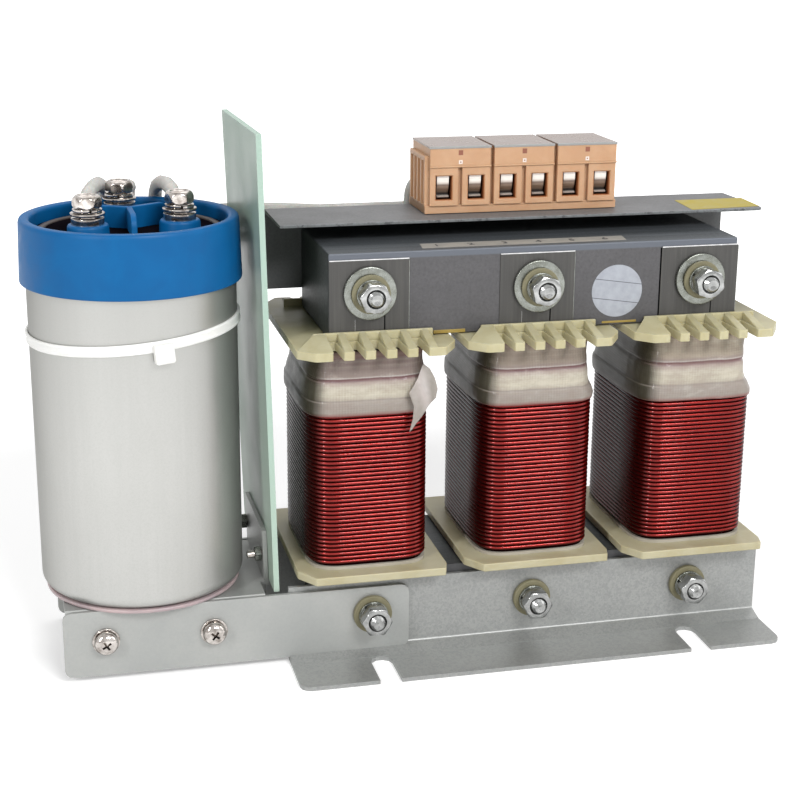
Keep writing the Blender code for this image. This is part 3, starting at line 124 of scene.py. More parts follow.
def ramp(tree, factor, *stops):
    made = add(tree, "ShaderNodeValToRGB", {"Fac": factor})
    elements = made.color_ramp.elements
    elements[0].position, elements[0].color = stops[0]
    elements[1].position, elements[1].color = stops[-1]
    for position, color in stops[1:-1]:
        elements.new(position).color = color
    return made.outputs["Color"]


def blend(tree, factor, first, second, mode="MIX"):
    made = add(tree, "ShaderNodeMix", data_type="RGBA", blend_type=mode)
    for key, value in ((0, factor), (6, first), (7, second)):
        if isinstance(value, bpy.types.NodeSocket):
            tree.links.new(value, made.inputs[key])
        else:
            made.inputs[key].default_value = value
    return made.outputs[2]


def principled(name, color, roughness, metallic=0.0, **extra):
    """A material with its Principled shader; extra names shader inputs with _ for spaces."""
    made = bpy.data.materials.new(name)
    made.use_nodes = True
    tree = made.node_tree
    shader = tree.nodes["Principled BSDF"]
    values = {"Base Color": color, "Roughness": roughness, "Metallic": metallic}
    for key, value in extra.items():
        values[key.replace("_", " ")] = value
    for key, value in values.items():
        if isinstance(value, bpy.types.NodeSocket):
            tree.links.new(value, shader.inputs[key])
        else:
            shader.inputs[key].default_value = value
    return made, tree, shader


def connect(tree, shader, key, value):
    tree.links.new(value, shader.inputs[key])


def bump(tree, shader, height, distance, strength=1.0, under=None):
    inputs = {"Height": height, "Distance": distance, "Strength": strength}
    if under is not None:
        inputs["Normal"] = under
    normal = add(tree, "ShaderNodeBump", inputs).outputs["Normal"]
    connect(tree, shader, "Normal", normal)
    return normal


# ---------------------------------------------------------------------------
# Materials
# ---------------------------------------------------------------------------

def galvanised(name, light, dark, speckle, cloud):
    """Zinc-dipped sheet: fine spangle, clouding and faint rolling marks."""
    made, tree, shader = principled(name, light, 0.42, 0.5)
    where = coordinates(tree)
    spangle = grey_of(tree, cells(tree, where, 900.0))
    fine = grain(tree, where, 1500.0, 4.0, 0.7)
    broad = grain(tree, where, 22.0, 3.0, 0.55)
    flakes = ramp(tree, spangle, (0.25, grey(speckle)), (0.6, grey(0.0)))
    tone = blend(tree, flakes, light, dark)
    tone = blend(tree, ramp(tree, fine, (0.36, grey(speckle * 1.4)), (0.52, grey(0.0))), tone, dark)
    tone = blend(tree, ramp(tree, broad, (0.38, grey(cloud)), (0.62, grey(0.0))), tone, dark)
    connect(tree, shader, "Base Color", tone)
    connect(tree, shader, "Roughness", remap(tree, fine, 0.3, 0.7, 0.36, 0.52))
    rolled = grain(tree, coordinates(tree, (14, 1600, 1600)), 1.0, 2.0)
    height = calc(tree, "ADD", calc(tree, "MULTIPLY", fine, 0.7), calc(tree, "MULTIPLY", rolled, 0.3))
    bump(tree, shader, height, 0.00006, 0.6)
    return made


def painted_grey():
    """Grey stoved paint on the top plate with scuffed, chipped front edge."""
    made, tree, shader = principled("plate_paint", rgb(114, 114, 116), 0.5, Specular_IOR_Level=0.3)
    where = coordinates(tree)
    fine = grain(tree, where, 900.0, 4.0, 0.65)
    broad = grain(tree, where, 30.0, 4.0, 0.6)
    tone = ramp(tree, fine, (0.3, rgb(94, 94, 95)), (0.5, rgb(106, 106, 107)), (0.7, rgb(114, 114, 115)))
    tone = blend(tree, ramp(tree, broad, (0.4, grey(0.22)), (0.65, grey(0.0))), tone, rgb(98, 98, 101))
    edge = remap(tree, axis_value(tree, "Y"), -0.0112, -0.0098, 1.0, 0.0)
    chips = ramp(tree, grain(tree, coordinates(tree, (1, 0.4, 1)), 420.0, 5.0, 0.75), (0.42, grey(0.0)), (0.5, grey(1.0)))
    worn = calc(tree, "MULTIPLY", edge, chips)
    tone = blend(tree, worn, tone, rgb(128, 132, 134))
    dark = ramp(tree, grain(tree, coordinates(tree, (1, 0.5, 1)), 260.0, 4.0, 0.7), (0.56, grey(0.0)), (0.62, grey(0.8)))
    tone = blend(tree, calc(tree, "MULTIPLY", edge, dark), tone, rgb(45, 46, 48))
    # Painted shade: faces turned to the front, such as the web under the plate, are darkened.
    facing = remap(tree, normal_value(tree, "Y"), -0.9, -0.5, 1.0, 0.0)
    tone = blend(tree, calc(tree, "MULTIPLY", facing, 0.45), tone, rgb(70, 74, 74))
    connect(tree, shader, "Base Color", tone)
    connect(tree, shader, "Roughness", remap(tree, broad, 0.3, 0.7, 0.42, 0.6))
    bump(tree, shader, fine, 0.00005, 0.5)
    return made


def lamination(name, face, edge_light, edge_dark, top_band=None):
    """Varnished sheet stack: mottled face in front and rear, thin sheet edges on the other sides.

    top_band is the height from which the front face turns to the paler, bluish rounded edge.
    """
    made, tree, shader = principled(name, face, 0.5, 0.2)
    where = coordinates(tree)
    fine = grain(tree, where, 700.0, 5.0, 0.75)
    broad = grain(tree, where, 60.0, 3.0, 0.6)
    front = ramp(tree, fine, (0.3, blend_value(face, 0.72)), (0.5, face), (0.72, blend_value(face, 1.22)))
    front = blend(tree, ramp(tree, broad, (0.42, grey(0.18)), (0.6, grey(0.0))), front, blend_value(face, 0.6))
    if top_band is not None:
        near_top = remap(tree, axis_value(tree, "Z"), top_band - 0.0003, top_band + 0.0004, 0.0, 0.75)
        front = blend(tree, near_top, front, rgb(94, 100, 110))
    sheets = grain(tree, coordinates(tree, (3, 1900, 3)), 1.0, 1.0)
    stacked = ramp(tree, sheets, (0.35, edge_dark), (0.6, edge_light))
    long_tone = grain(tree, coordinates(tree, (12, 260, 12)), 1.0, 2.0)
    stacked = blend(tree, ramp(tree, long_tone, (0.4, grey(0.35)), (0.6, grey(0.0))), stacked, edge_dark)
    facing = ramp(tree, calc(tree, "ABSOLUTE", normal_value(tree, "Y")), (0.6, grey(0.0)), (0.75, grey(1.0)))
    # Painted shade: sheet edges that face left, toward the barrier, are darkened.
    side = remap(tree, normal_value(tree, "X"), -0.9, -0.5, 0.7, 0.0)
    stacked = blend(tree, side, stacked, rgb(22, 28, 24))
    tone = blend(tree, facing, stacked, front)
    connect(tree, shader, "Base Color", tone)
    connect(tree, shader, "Roughness", remap(tree, fine, 0.3, 0.7, 0.42, 0.58))
    lines = calc(tree, "MULTIPLY", sheets, calc(tree, "SUBTRACT", 1.0, facing))
    height = calc(tree, "ADD", lines, calc(tree, "MULTIPLY", fine, 0.25))
    bump(tree, shader, height, 0.0001, 0.6)
    return made


def blend_value(color, factor):
    return (color[0] * factor, color[1] * factor, color[2] * factor, 1.0)


def limb_end_steel():
    """The limbs' outer sheets: brownish steel with faint upright grain."""
    made, tree, shader = principled("limb_end_steel", rgb(88, 85, 82), 0.46, 0.25)
    upright = grain(tree, coordinates(tree, (900, 40, 18)), 1.0, 4.0, 0.6)
    wide = grain(tree, coordinates(tree, (210, 30, 7)), 1.0, 3.0, 0.6)
    fine = grain(tree, coordinates(tree), 900.0, 3.0, 0.6)
    tone = ramp(tree, upright, (0.3, rgb(66, 65, 63)), (0.5, rgb(72, 71, 69)), (0.72, rgb(80, 79, 76)))
    tone = blend(tree, ramp(tree, wide, (0.38, grey(0.5)), (0.6, grey(0.0))), tone, rgb(58, 57, 56))
    tone = blend(tree, ramp(tree, fine, (0.62, grey(0.0)), (0.75, grey(0.3))), tone, rgb(96, 95, 92))
    connect(tree, shader, "Base Color", tone)
    connect(tree, shader, "Roughness", remap(tree, wide, 0.3, 0.7, 0.38, 0.56))
    bump(tree, shader, upright, 0.00004, 0.5)
    return made


def plated(name, light, dark, roughness, warm=0.0):
    """Bright zinc or nickel plating with faint staining and rub marks."""
    made, tree, shader = principled(name, light, roughness, 0.95)
    where = coordinates(tree)
    stain = grain(tree, where, 260.0, 4.0, 0.6)
    fine = grain(tree, where, 1800.0, 3.0, 0.6)
    tone = blend(tree, ramp(tree, stain, (0.38, grey(0.75)), (0.62, grey(0.0))), light, dark)
    if warm > 0:
        patch = grain(tree, where, 120.0, 2.0)
        tone = blend(tree, ramp(tree, patch, (0.42, grey(0.0)), (0.6, grey(warm))), tone, rgb(190, 178, 128))
    connect(tree, shader, "Base Color", tone)
    connect(tree, shader, "Roughness", remap(tree, fine, 0.3, 0.7, roughness * 0.8, roughness * 1.35))
    bump(tree, shader, fine, 0.00003, 0.5)
    return made


def grey_of(tree, color):
    return add(tree, "ShaderNodeRGBToBW", {"Color": color}).outputs["Val"]


def moulded(name, color, deep, roughness, through, radius, specks=0.25, shine=0.5, shade=None):
    """Moulded plastic, a little translucent, with flow clouding and a fine satin skin.

    shade is (from_y, to_y, color): toward to_y the piece turns to that colour as painted shade, such as falls between
    walls.
    """
    made, tree, shader = principled(
        name, color, roughness, Subsurface_Weight=through, Subsurface_Radius=radius, Subsurface_Scale=0.004,
        Specular_IOR_Level=shine,
    )
    where = coordinates(tree)
    flow = grain(tree, where, 70.0, 4.0, 0.6, 0.6)
    fine = grain(tree, where, 1500.0, 3.0, 0.6)
    tone = blend(tree, ramp(tree, flow, (0.36, grey(0.5)), (0.64, grey(0.0))), color, deep)
    tone = blend(tree, ramp(tree, fine, (0.6, grey(0.0)), (0.8, grey(specks))), tone, deep)
    # Painted shade toward shade[1].
    if shade is not None:
        tone = blend(tree, remap(tree, axis_value(tree, "Y"), shade[0], shade[1], 0.0, 0.85), tone, shade[2])
    connect(tree, shader, "Base Color", tone)
    connect(tree, shader, "Roughness", remap(tree, flow, 0.3, 0.7, roughness * 0.85, roughness * 1.2))
    bump(tree, shader, fine, 0.00003, 0.5)
    return made


def enamelled_wire():
    """Dark red enamel over copper: bright on the wire's shoulder, with painted shade near black down between the turns
    and on the sides that face left.
    """
    made, tree, shader = principled(
        "red_enamel", rgb(110, 16, 14), 0.3, 0.75, Specular_IOR_Level=0.1, Specular_Tint=rgb(84, 50, 46),
        Coat_Weight=0.45, Coat_Roughness=0.11, Coat_IOR=1.5,
    )
    where = coordinates(tree)
    drift = grain(tree, where, 60.0, 3.0, 0.6)
    fine = grain(tree, coordinates(tree, (120, 120, 900)), 1.0, 3.0, 0.6)
    tone = ramp(tree, drift, (0.3, rgb(120, 22, 20)), (0.5, rgb(132, 28, 25)), (0.7, rgb(140, 34, 30)))
    tone = blend(tree, ramp(tree, fine, (0.6, grey(0.0)), (0.75, grey(0.35))), tone, rgb(98, 14, 13))
    # Painted shade: near black where the wire faces up or down, between the turns.
    around = remap(tree, normal_value(tree, "Z"), -1.0, 1.0)
    painted_groove_shade = ramp(
        tree, around, (0.12, grey(0.9)), (0.36, grey(0.3)), (0.54, grey(0.0)), (0.80, grey(0.0)), (0.94, grey(0.8))
    )
    tone = blend(tree, painted_groove_shade, tone, rgb(52, 6, 6))
    # Painted shade on the sides that face left.
    shade = remap(tree, normal_value(tree, "X"), -0.80, -0.35, 0.8, 0.0)
    tone = blend(tree, shade, tone, rgb(60, 15, 14))
    connect(tree, shader, "Base Color", tone)
    connect(tree, shader, "Roughness", remap(tree, fine, 0.3, 0.7, 0.24, 0.34))
    bump(tree, shader, fine, 0.00002, 0.5)
    return made


def clear_tape(side, drop, pale):
    """Layers of clear glass-cloth tape over the wire: pale below, darker above, with threads and seams; painted
    highlight and painted shade in its colours by height, and painted shade on the sides that face left.
    """
    made, tree, shader = principled(
        "clear_tape_" + side, rgb(176, 170, 156), 0.35, Specular_IOR_Level=0.1, Coat_Weight=0.12, Coat_Roughness=0.06,
        Coat_IOR=1.45, Subsurface_Weight=0.1, Subsurface_Radius=(1.0, 0.7, 0.5), Subsurface_Scale=0.002,
    )
    height = axis_value(tree, "Z")
    sway = grain(tree, coordinates(tree, (60, 60, 10)), 1.0, 3.0, 0.6)
    level = calc(tree, "ADD", height, calc(tree, "MULTIPLY", calc(tree, "SUBTRACT", sway, 0.5), 0.0010))
    part = remap(tree, level, 0.1235 - drop, 0.1535)
    # Colour by height: the tape's own layers, with the red wire showing through at the bottom, plus painted highlight
    # on the proud lower wrap and at the step's edge, and painted shade in the dark lines at the step and under the
    # comb.
    height_tones_with_painted_light = ramp(
        tree, part,
        (0.00, rgb(120, 58, 54)), (0.03, rgb(146, 112, 106)), (0.07, rgb(152, 146, 138)), (0.23, rgb(158, 152, 144)),
        (0.25, rgb(150, 144, 136)), (0.27, rgb(180, 174, 160)), (0.34, rgb(192, 187, 170)), (0.46, rgb(188, 182, 168)),
        (0.53, rgb(164, 152, 146)), (0.55, rgb(130, 108, 108)), (0.575, rgb(104, 74, 78)), (0.585, rgb(118, 90, 92)),
        (0.60, rgb(186, 182, 176)), (0.615, rgb(146, 135, 130)), (0.72, rgb(139, 126, 124)), (0.76, rgb(150, 140, 135)),
        (0.80, rgb(124, 108, 108)), (0.84, rgb(140, 130, 126)), (0.89, rgb(110, 80, 82)), (0.93, rgb(124, 98, 90)),
        (0.98, rgb(64, 46, 40)),
    )
    upper = ramp(tree, part, (0.61, grey(0.0)), (0.67, grey(pale)), (0.92, grey(pale)), (1.0, grey(0.0)))
    height_tones_with_painted_light = blend(tree, upper, height_tones_with_painted_light, rgb(172, 164, 146))
    side = calc(tree, "ABSOLUTE", normal_value(tree, "X"))
    across_front = calc(tree, "SINE", calc(tree, "MULTIPLY", axis_value(tree, "X"), 4600.0))
    across_side = calc(tree, "SINE", calc(tree, "MULTIPLY", axis_value(tree, "Y"), 4600.0))
    side_part = ramp(tree, side, (0.6, grey(0.0)), (0.8, grey(1.0)))
    threads = blend(tree, side_part, across_front, across_side)
    lines = calc(tree, "SINE", calc(tree, "MULTIPLY", level, 5600.0))
    weave = calc(tree, "ADD", calc(tree, "MULTIPLY", threads, 0.5), calc(tree, "MULTIPLY", lines, 0.35))
    patches = grain(tree, coordinates(tree), 90.0, 2.0)
    weave = calc(tree, "MULTIPLY", weave, remap(tree, patches, 0.35, 0.65, 0.3, 1.0))
    tone = blend(tree, remap(tree, weave, -0.8, 0.9, 0.2, 0.0), height_tones_with_painted_light, rgb(96, 66, 64))
    blotch = grain(tree, coordinates(tree, (1, 1, 2)), 110.0, 4.0, 0.65)
    tone = blend(tree, ramp(tree, blotch, (0.36, grey(0.35)), (0.6, grey(0.0))), tone, rgb(130, 114, 106))
    tone = blend(tree, ramp(tree, blotch, (0.58, grey(0.0)), (0.74, grey(0.3))), tone, rgb(198, 192, 182))
    # Painted shade on the sides that face left.
    shade = remap(tree, normal_value(tree, "X"), -0.85, -0.30, 0.92, 0.0)
    tone = blend(tree, shade, tone, rgb(50, 48, 36))
    connect(tree, shader, "Base Color", tone)
    connect(tree, shader, "Roughness", remap(tree, blotch, 0.3, 0.7, 0.3, 0.45))
    bump(tree, shader, calc(tree, "ADD", calc(tree, "MULTIPLY", weave, 0.35), blotch), 0.00016, 0.7)
    return made


COIL_SIZE = {"left": (0.0297, 0.0402), "centre": (0.0292, 0.0404), "right": (0.0299, 0.0414)}


def satin_aluminium():
    """Drawn can: satin, with soft clouding and only a trace of upright draw lines."""
    made, tree, shader = principled(
        "satin_aluminium", rgb(184, 184, 181), 0.4, 0.8, Specular_Tint=rgb(150, 150, 148), Specular_IOR_Level=0.3,
    )
    drawn = grain(tree, coordinates(tree, (300, 300, 12)), 1.0, 3.0, 0.6)
    cloud = grain(tree, coordinates(tree, (30, 30, 16)), 1.0, 4.0, 0.6)
    fine = grain(tree, coordinates(tree), 1300.0, 3.0, 0.7)
    tone = ramp(tree, drawn, (0.3, rgb(184, 184, 181)), (0.6, rgb(187, 187, 184)))
    tone = blend(tree, ramp(tree, cloud, (0.36, grey(0.3)), (0.6, grey(0.0))), tone, rgb(174, 174, 170))
    tone = blend(tree, ramp(tree, fine, (0.35, grey(0.25)), (0.55, grey(0.0))), tone, rgb(164, 164, 160))
    # Darker toward the top, under the cap ring: painted shade.
    tone = blend(tree, remap(tree, axis_value(tree, "Z"), 0.10, 0.19, 0.0, 0.7), tone, rgb(160, 160, 157))
    connect(tree, shader, "Base Color", tone)
    connect(tree, shader, "Roughness", remap(tree, cloud, 0.3, 0.7, 0.36, 0.46))
    bump(tree, shader, fine, 0.00003, 0.4)
    return made


def clamp_metal(floor):
    """Bright clamp with painted light: white upper plate, a painted reflection of the dark housing on the curve, a
    painted highlight on the lip and painted shade in the dark stripes.
    """
    made, tree, shader = principled("clamp_cage_painted_light", rgb(220, 216, 210), 0.3, 0.2)
    part = remap(tree, axis_value(tree, "Z"), floor, floor + 0.012)
    fine = grain(tree, coordinates(tree, (40, 400, 700)), 1.0, 3.0, 0.6)
    part = calc(tree, "ADD", part, calc(tree, "MULTIPLY", calc(tree, "SUBTRACT", fine, 0.5), 0.03))
    # Painted light by height: dark stripes of painted shade, a bright painted highlight on the lip and a painted
    # reflection of the housing on the curve.
    tone = ramp(
        tree, part,
        (0.00, rgb(24, 18, 16)), (0.09, rgb(40, 32, 28)), (0.12, rgb(150, 142, 134)), (0.17, rgb(176, 168, 160)),
        (0.20, rgb(26, 20, 18)), (0.25, rgb(34, 26, 22)), (0.32, rgb(92, 76, 62)), (0.42, rgb(112, 92, 76)),
        (0.52, rgb(140, 120, 104)), (0.60, rgb(120, 102, 92)), (0.66, rgb(196, 186, 176)), (0.74, rgb(226, 220, 212)),
        (1.00, rgb(214, 208, 202)),
    )
    connect(tree, shader, "Base Color", tone)
    connect(tree, shader, "Roughness", remap(tree, fine, 0.3, 0.7, 0.24, 0.34))
    bump(tree, shader, fine, 0.00003, 0.4)
    return made


def socket_shade():
    """The walls inside a wire entry: the housing's colour at the mouth, turning to painted shade, dark brown, further
    in.
    """
    made, tree, shader = principled("socket_shade", rgb(90, 50, 28), 0.5)
    front = remap(tree, axis_value(tree, "Y"), 0.0018, 0.0075)
    rear = remap(tree, axis_value(tree, "Y"), 0.0347, 0.0290)
    deep = calc(tree, "MINIMUM", front, rear)
    cloud = grain(tree, coordinates(tree), 240.0, 3.0, 0.6)
    deep = calc(tree, "ADD", deep, calc(tree, "MULTIPLY", calc(tree, "SUBTRACT", cloud, 0.5), 0.15))
    tone = ramp(
        tree, deep, (0.0, rgb(196, 140, 98)), (0.2, rgb(164, 96, 52)), (0.5, rgb(120, 66, 34)), (0.9, rgb(40, 24, 16))
    )
    connect(tree, shader, "Base Color", tone)
    connect(tree, shader, "Roughness", remap(tree, cloud, 0.3, 0.7, 0.4, 0.6))
    bump(tree, shader, cloud, 0.00004, 0.4)
    return made


def glass_laminate():
    """Pale green glass epoxy sheet with its fine cloth weave, paler at the cut edges."""
    made, tree, shader = principled(
        "glass_laminate", rgb(132, 152, 138), 0.42, Specular_IOR_Level=0.3, Subsurface_Weight=0.2,
        Subsurface_Radius=(0.8, 1.0, 0.9), Subsurface_Scale=0.003,
    )
    upright = calc(tree, "SINE", calc(tree, "MULTIPLY", axis_value(tree, "Z"), 4200.0))
    along = calc(tree, "SINE", calc(tree, "MULTIPLY", axis_value(tree, "Y"), 4200.0))
    weave = calc(tree, "MULTIPLY", upright, along)
    cloud = grain(tree, coordinates(tree), 26.0, 4.0, 0.55)
    edge = ramp(tree, calc(tree, "ABSOLUTE", normal_value(tree, "X")), (0.4, grey(1.0)), (0.8, grey(0.0)))
    tone = ramp(tree, cloud, (0.3, rgb(124, 144, 130)), (0.7, rgb(140, 160, 147)))
    tone = blend(tree, remap(tree, weave, -1.0, 1.0, 0.0, 0.10), tone, rgb(164, 184, 172))
    tone = blend(tree, calc(tree, "MULTIPLY", edge, 0.85), tone, rgb(166, 188, 176))
    # Paler toward the bottom, where the can's shadow falls: painted light.
    tone = blend(tree, remap(tree, axis_value(tree, "Z"), 0.03, 0.13, 0.5, 0.0), tone, rgb(174, 190, 174))
    connect(tree, shader, "Base Color", tone)
    connect(tree, shader, "Roughness", remap(tree, cloud, 0.3, 0.7, 0.3, 0.46))
    bump(tree, shader, weave, 0.00003, 0.5)
    return made


def lead_sleeve():
    """Whitish glass-fibre sleeve with its braid."""
    made, tree, shader = principled(
        "lead_sleeve_white", rgb(214, 212, 206), 0.5, Subsurface_Weight=0.2, Subsurface_Scale=0.002
    )
    braid = cells(tree, coordinates(tree), 900.0, "DISTANCE_TO_EDGE", "Distance")
    cloud = grain(tree, coordinates(tree), 160.0, 3.0, 0.6)
    tone = ramp(tree, cloud, (0.32, rgb(168, 166, 161)), (0.6, rgb(192, 191, 187)))
    tone = blend(tree, ramp(tree, braid, (0.0, grey(0.35)), (0.25, grey(0.0))), tone, rgb(160, 156, 148))
    connect(tree, shader, "Base Color", tone)
    connect(tree, shader, "Roughness", remap(tree, cloud, 0.3, 0.7, 0.42, 0.6))
    bump(tree, shader, braid, 0.0001, 0.5)
    return made


def ruled_sticker(centre, tilt, offsets):
    """Silver paper dot with two ruled lines across it."""
    made, tree, shader = principled("silver_sticker", rgb(186, 191, 199), 0.42, 0.15)
    x = calc(tree, "SUBTRACT", axis_value(tree, "X"), centre[0])
    z = calc(tree, "SUBTRACT", axis_value(tree, "Z"), centre[1])
    up = calc(tree, "SUBTRACT", calc(tree, "MULTIPLY", z, math.cos(tilt)), calc(tree, "MULTIPLY", x, math.sin(tilt)))
    cloud = grain(tree, coordinates(tree), 240.0, 4.0, 0.6)
    tone = ramp(tree, cloud, (0.3, rgb(146, 150, 158)), (0.7, rgb(162, 166, 174)))
    for offset in offsets:
        away = calc(tree, "ABSOLUTE", calc(tree, "SUBTRACT", up, offset))
        line = remap(tree, away, 0.00010, 0.00022, 0.9, 0.0)
        tone = blend(tree, line, tone, rgb(60, 62, 70))
    connect(tree, shader, "Base Color", tone)
    connect(tree, shader, "Roughness", remap(tree, cloud, 0.3, 0.7, 0.36, 0.5))
    bump(tree, shader, cloud, 0.00003, 0.4)
    return made


def paper_label(name, color, worn):
    made, tree, shader = principled(name, color, 0.45)
    cloud = grain(tree, coordinates(tree), 180.0, 4.0, 0.6)
    fine = grain(tree, coordinates(tree), 1600.0, 2.0)
    tone = blend(tree, ramp(tree, cloud, (0.4, grey(0.4)), (0.65, grey(0.0))), color, worn)
    connect(tree, shader, "Base Color", tone)
    connect(tree, shader, "Roughness", remap(tree, cloud, 0.3, 0.7, 0.38, 0.55))
    bump(tree, shader, fine, 0.00003, 0.4)
    return made


ZINC_SHEET = galvanised("zinc_sheet", rgb(160, 161, 159), rgb(112, 116, 116), 0.22, 0.16)
ZINC_STRIP = galvanised("zinc_strip", rgb(170, 171, 168), rgb(140, 144, 144), 0.1, 0.30)
PLATE_PAINT = painted_grey()
YOKE_VARNISH = lamination("yoke_varnish", rgb(80, 79, 81), rgb(80, 84, 88), rgb(56, 60, 62), 0.1948)
# The lower core takes a darker copy of the yoke's varnish: painted shade.
CORE_VARNISH_PAINTED_SHADE = lamination("core_varnish_painted_shade", rgb(66, 66, 68), rgb(58, 62, 64), rgb(34, 36, 36))
LIMB_STEEL = limb_end_steel()
ZINC_PLATE = plated("zinc_plate", rgb(138, 141, 136), rgb(110, 112, 104), 0.26)
ZINC_NUT = plated("zinc_nut", rgb(168, 169, 168), rgb(128, 129, 128), 0.2)
NICKEL = plated("bright_nickel", rgb(206, 200, 195), rgb(116, 106, 98), 0.09)
FIBRE = moulded("fibre_washer", rgb(124, 120, 96), rgb(104, 98, 74), 0.5, 0.1, (1.0, 0.9, 0.6), shine=0.3)
# The comb nylon darkens toward the rear, in the shade of the core and the plate's web: painted shade.
IVORY = moulded(
    "ivory_nylon", rgb(184, 178, 146), rgb(162, 152, 112), 0.4, 0.3, (1.0, 0.85, 0.5), shine=0.35,
    shade=(-0.030, 0.004, rgb(92, 88, 62)),
)
FLANGE = moulded("ivory_flange", rgb(180, 174, 146), rgb(162, 152, 116), 0.4, 0.3, (1.0, 0.85, 0.5), shine=0.35)
TERMINAL = moulded("terminal_peach", rgb(192, 154, 122), rgb(178, 136, 102), 0.42, 0.25, (1.0, 0.6, 0.35), shine=0.3)
BLUE = moulded("cap_blue", rgb(2, 90, 146), rgb(2, 78, 132), 0.45, 0.0, (0.3, 0.6, 1.0), shine=0.2)
WHITE_NYLON = moulded("white_nylon_tie", rgb(242, 242, 238), rgb(222, 222, 216), 0.4, 0.35, (1.0, 1.0, 0.9))
PAD = moulded("pad_pink", rgb(176, 158, 158), rgb(140, 128, 134), 0.35, 0.25, (1.0, 0.7, 0.7))
WIRE = enamelled_wire()
ALUMINIUM = satin_aluminium()
LAMINATE = glass_laminate()
SLEEVE = lead_sleeve()
# Dark plated colour for recesses: painted shade; no piece uses it.
RECESS_PAINTED_SHADE = plated("recess_painted_shade", rgb(70, 62, 60), rgb(36, 32, 32), 0.4)
CLAMP_PAINTED_LIGHT = clamp_metal(0.2140)
SOCKET = socket_shade()
COVER = moulded("terminal_cover", rgb(140, 124, 116), rgb(122, 104, 96), 0.25, 0.1, (1.0, 0.9, 0.8), shine=0.35)
COVER_EDGE = moulded("cover_edge", rgb(150, 150, 148), rgb(134, 134, 132), 0.25, 0.1, (0.9, 0.95, 1.0), shine=0.35)
LID_FLOOR = moulded("lid_floor", rgb(22, 18, 24), rgb(12, 10, 14), 0.6, 0.0, (1.0, 1.0, 1.0), shine=0.0)
# Near black core seen between the turns in place of the shaded inner wire: painted shade.
INNER_TURNS_PAINTED_SHADE = moulded("inner_turns_painted_shade", rgb(24, 6, 6), rgb(12, 3, 3), 0.8, 0.0, (1.0, 0.3, 0.3), shine=0.0)
PAPER = moulded("winding_paper", rgb(176, 170, 158), rgb(150, 144, 130), 0.5, 0.1, (1.0, 0.9, 0.8), shine=0.2)
# Bright plated colour for lit edges: painted highlight.
EDGE_PAINTED_HIGHLIGHT = plated("edge_painted_highlight", rgb(214, 214, 214), rgb(180, 180, 180), 0.3)
YELLOW = paper_label("yellow_field", rgb(164, 146, 26), rgb(148, 132, 32))
MARK_STRIP = paper_label("mark_strip", rgb(150, 146, 138), rgb(130, 128, 124))
MARK_INK = paper_label("mark_ink", rgb(46, 46, 48), rgb(66, 66, 68))
MARK_BROWN = paper_label("mark_brown", rgb(140, 84, 62), rgb(110, 66, 52))
MARK_WHITE = paper_label("mark_white", rgb(224, 214, 206), rgb(200, 186, 176))


# ---------------------------------------------------------------------------
# Mesh helpers
# ---------------------------------------------------------------------------

def adopt(made, material, replaced=(), smooth=35.0):
    """Give a finished object its material and its body, and hide the nodes that it stands for."""
    made.data.materials.clear()
    made.data.materials.append(material)
    made.data.shade_smooth()
    made.data.set_sharp_from_angle(angle=math.radians(smooth))
    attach(made, "root")
    if replaced:
        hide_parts(*replaced)
    return made


def piece(name, shape, material, replaced=(), smooth=35.0):
    bmesh.ops.recalc_face_normals(shape, faces=shape.faces)
    mesh = bpy.data.meshes.new(name)
    shape.to_mesh(mesh)
    shape.free()
    made = bpy.data.objects.new(name, mesh)
    bpy.context.scene.collection.objects.link(made)
    return adopt(made, material, replaced, smooth)


def bevelled(made, width, segments=2, angle=30.0):
    edge = made.modifiers.new("edges", "BEVEL")
    edge.width = width
    edge.segments = segments
    edge.limit_method = "ANGLE"
    edge.angle_limit = math.radians(angle)
    edge.harden_normals = True
    return made


def copy_of(node):
    """A welded copy of a node's mesh with its flat faces whole again."""
    shape = bmesh.new()
    shape.from_mesh(NODES[node].data)
    bmesh.ops.remove_doubles(shape, verts=shape.verts, dist=0.000005)
    bmesh.ops.dissolve_limit(shape, angle_limit=0.01, verts=shape.verts, edges=shape.edges)
    return shape


def dressed(node, material, width, segments=2):
    return bevelled(piece("dressed_" + node, copy_of(node), material, (node,)), width, segments)


def soften(points, radius, steps=3, closed=True):
    """Round the corners of a profile by short arcs."""
    result = []
    count = len(points)
    for i, point in enumerate(points):
        here = Vector(point)
        if not closed and i in (0, count - 1):
            result.append(tuple(here))
            continue
        before = Vector(points[i - 1])
        after = Vector(points[(i + 1) % count])
        into = here - before
        out = after - here
        reach = min(radius, into.length * 0.45, out.length * 0.45)
        if reach < 1e-6 or into.angle(out, 0.0) < 0.1:
            result.append(tuple(here))
            continue
        start = here - into.normalized() * reach
        end = here + out.normalized() * reach
        for step in range(steps + 1):
            t = step / steps
            result.append(tuple(start.lerp(here, t).lerp(here.lerp(end, t), t)))
    return result


def lathe(shape, profile, segments, placement, closed=True, limit=None):
    """Turn (radius, height) points about Z. limit(angle) caps the radius, as the flats of a nut do."""
    rings = []
    for radius, height in profile:
        if radius < 1e-7:
            rings.append([shape.verts.new(placement @ Vector((0, 0, height)))])
            continue
        ring = []
        for i in range(segments):
            angle = FULL_TURN * i / segments
            reach = radius if limit is None else min(radius, limit(angle))
            ring.append(shape.verts.new(placement @ Vector((reach * math.cos(angle), reach * math.sin(angle), height))))
        rings.append(ring)
    pairs = list(zip(rings, rings[1:]))
    if closed:
        pairs.append((rings[-1], rings[0]))
    for first, second in pairs:
        if len(first) == 1 and len(second) == 1:
            continue
        for i in range(segments):
            j = (i + 1) % segments
            corners = [first[i % len(first)], first[j % len(first)], second[j % len(second)], second[i % len(second)]]
            shape.faces.new(list(dict.fromkeys(corners)))
    return shape


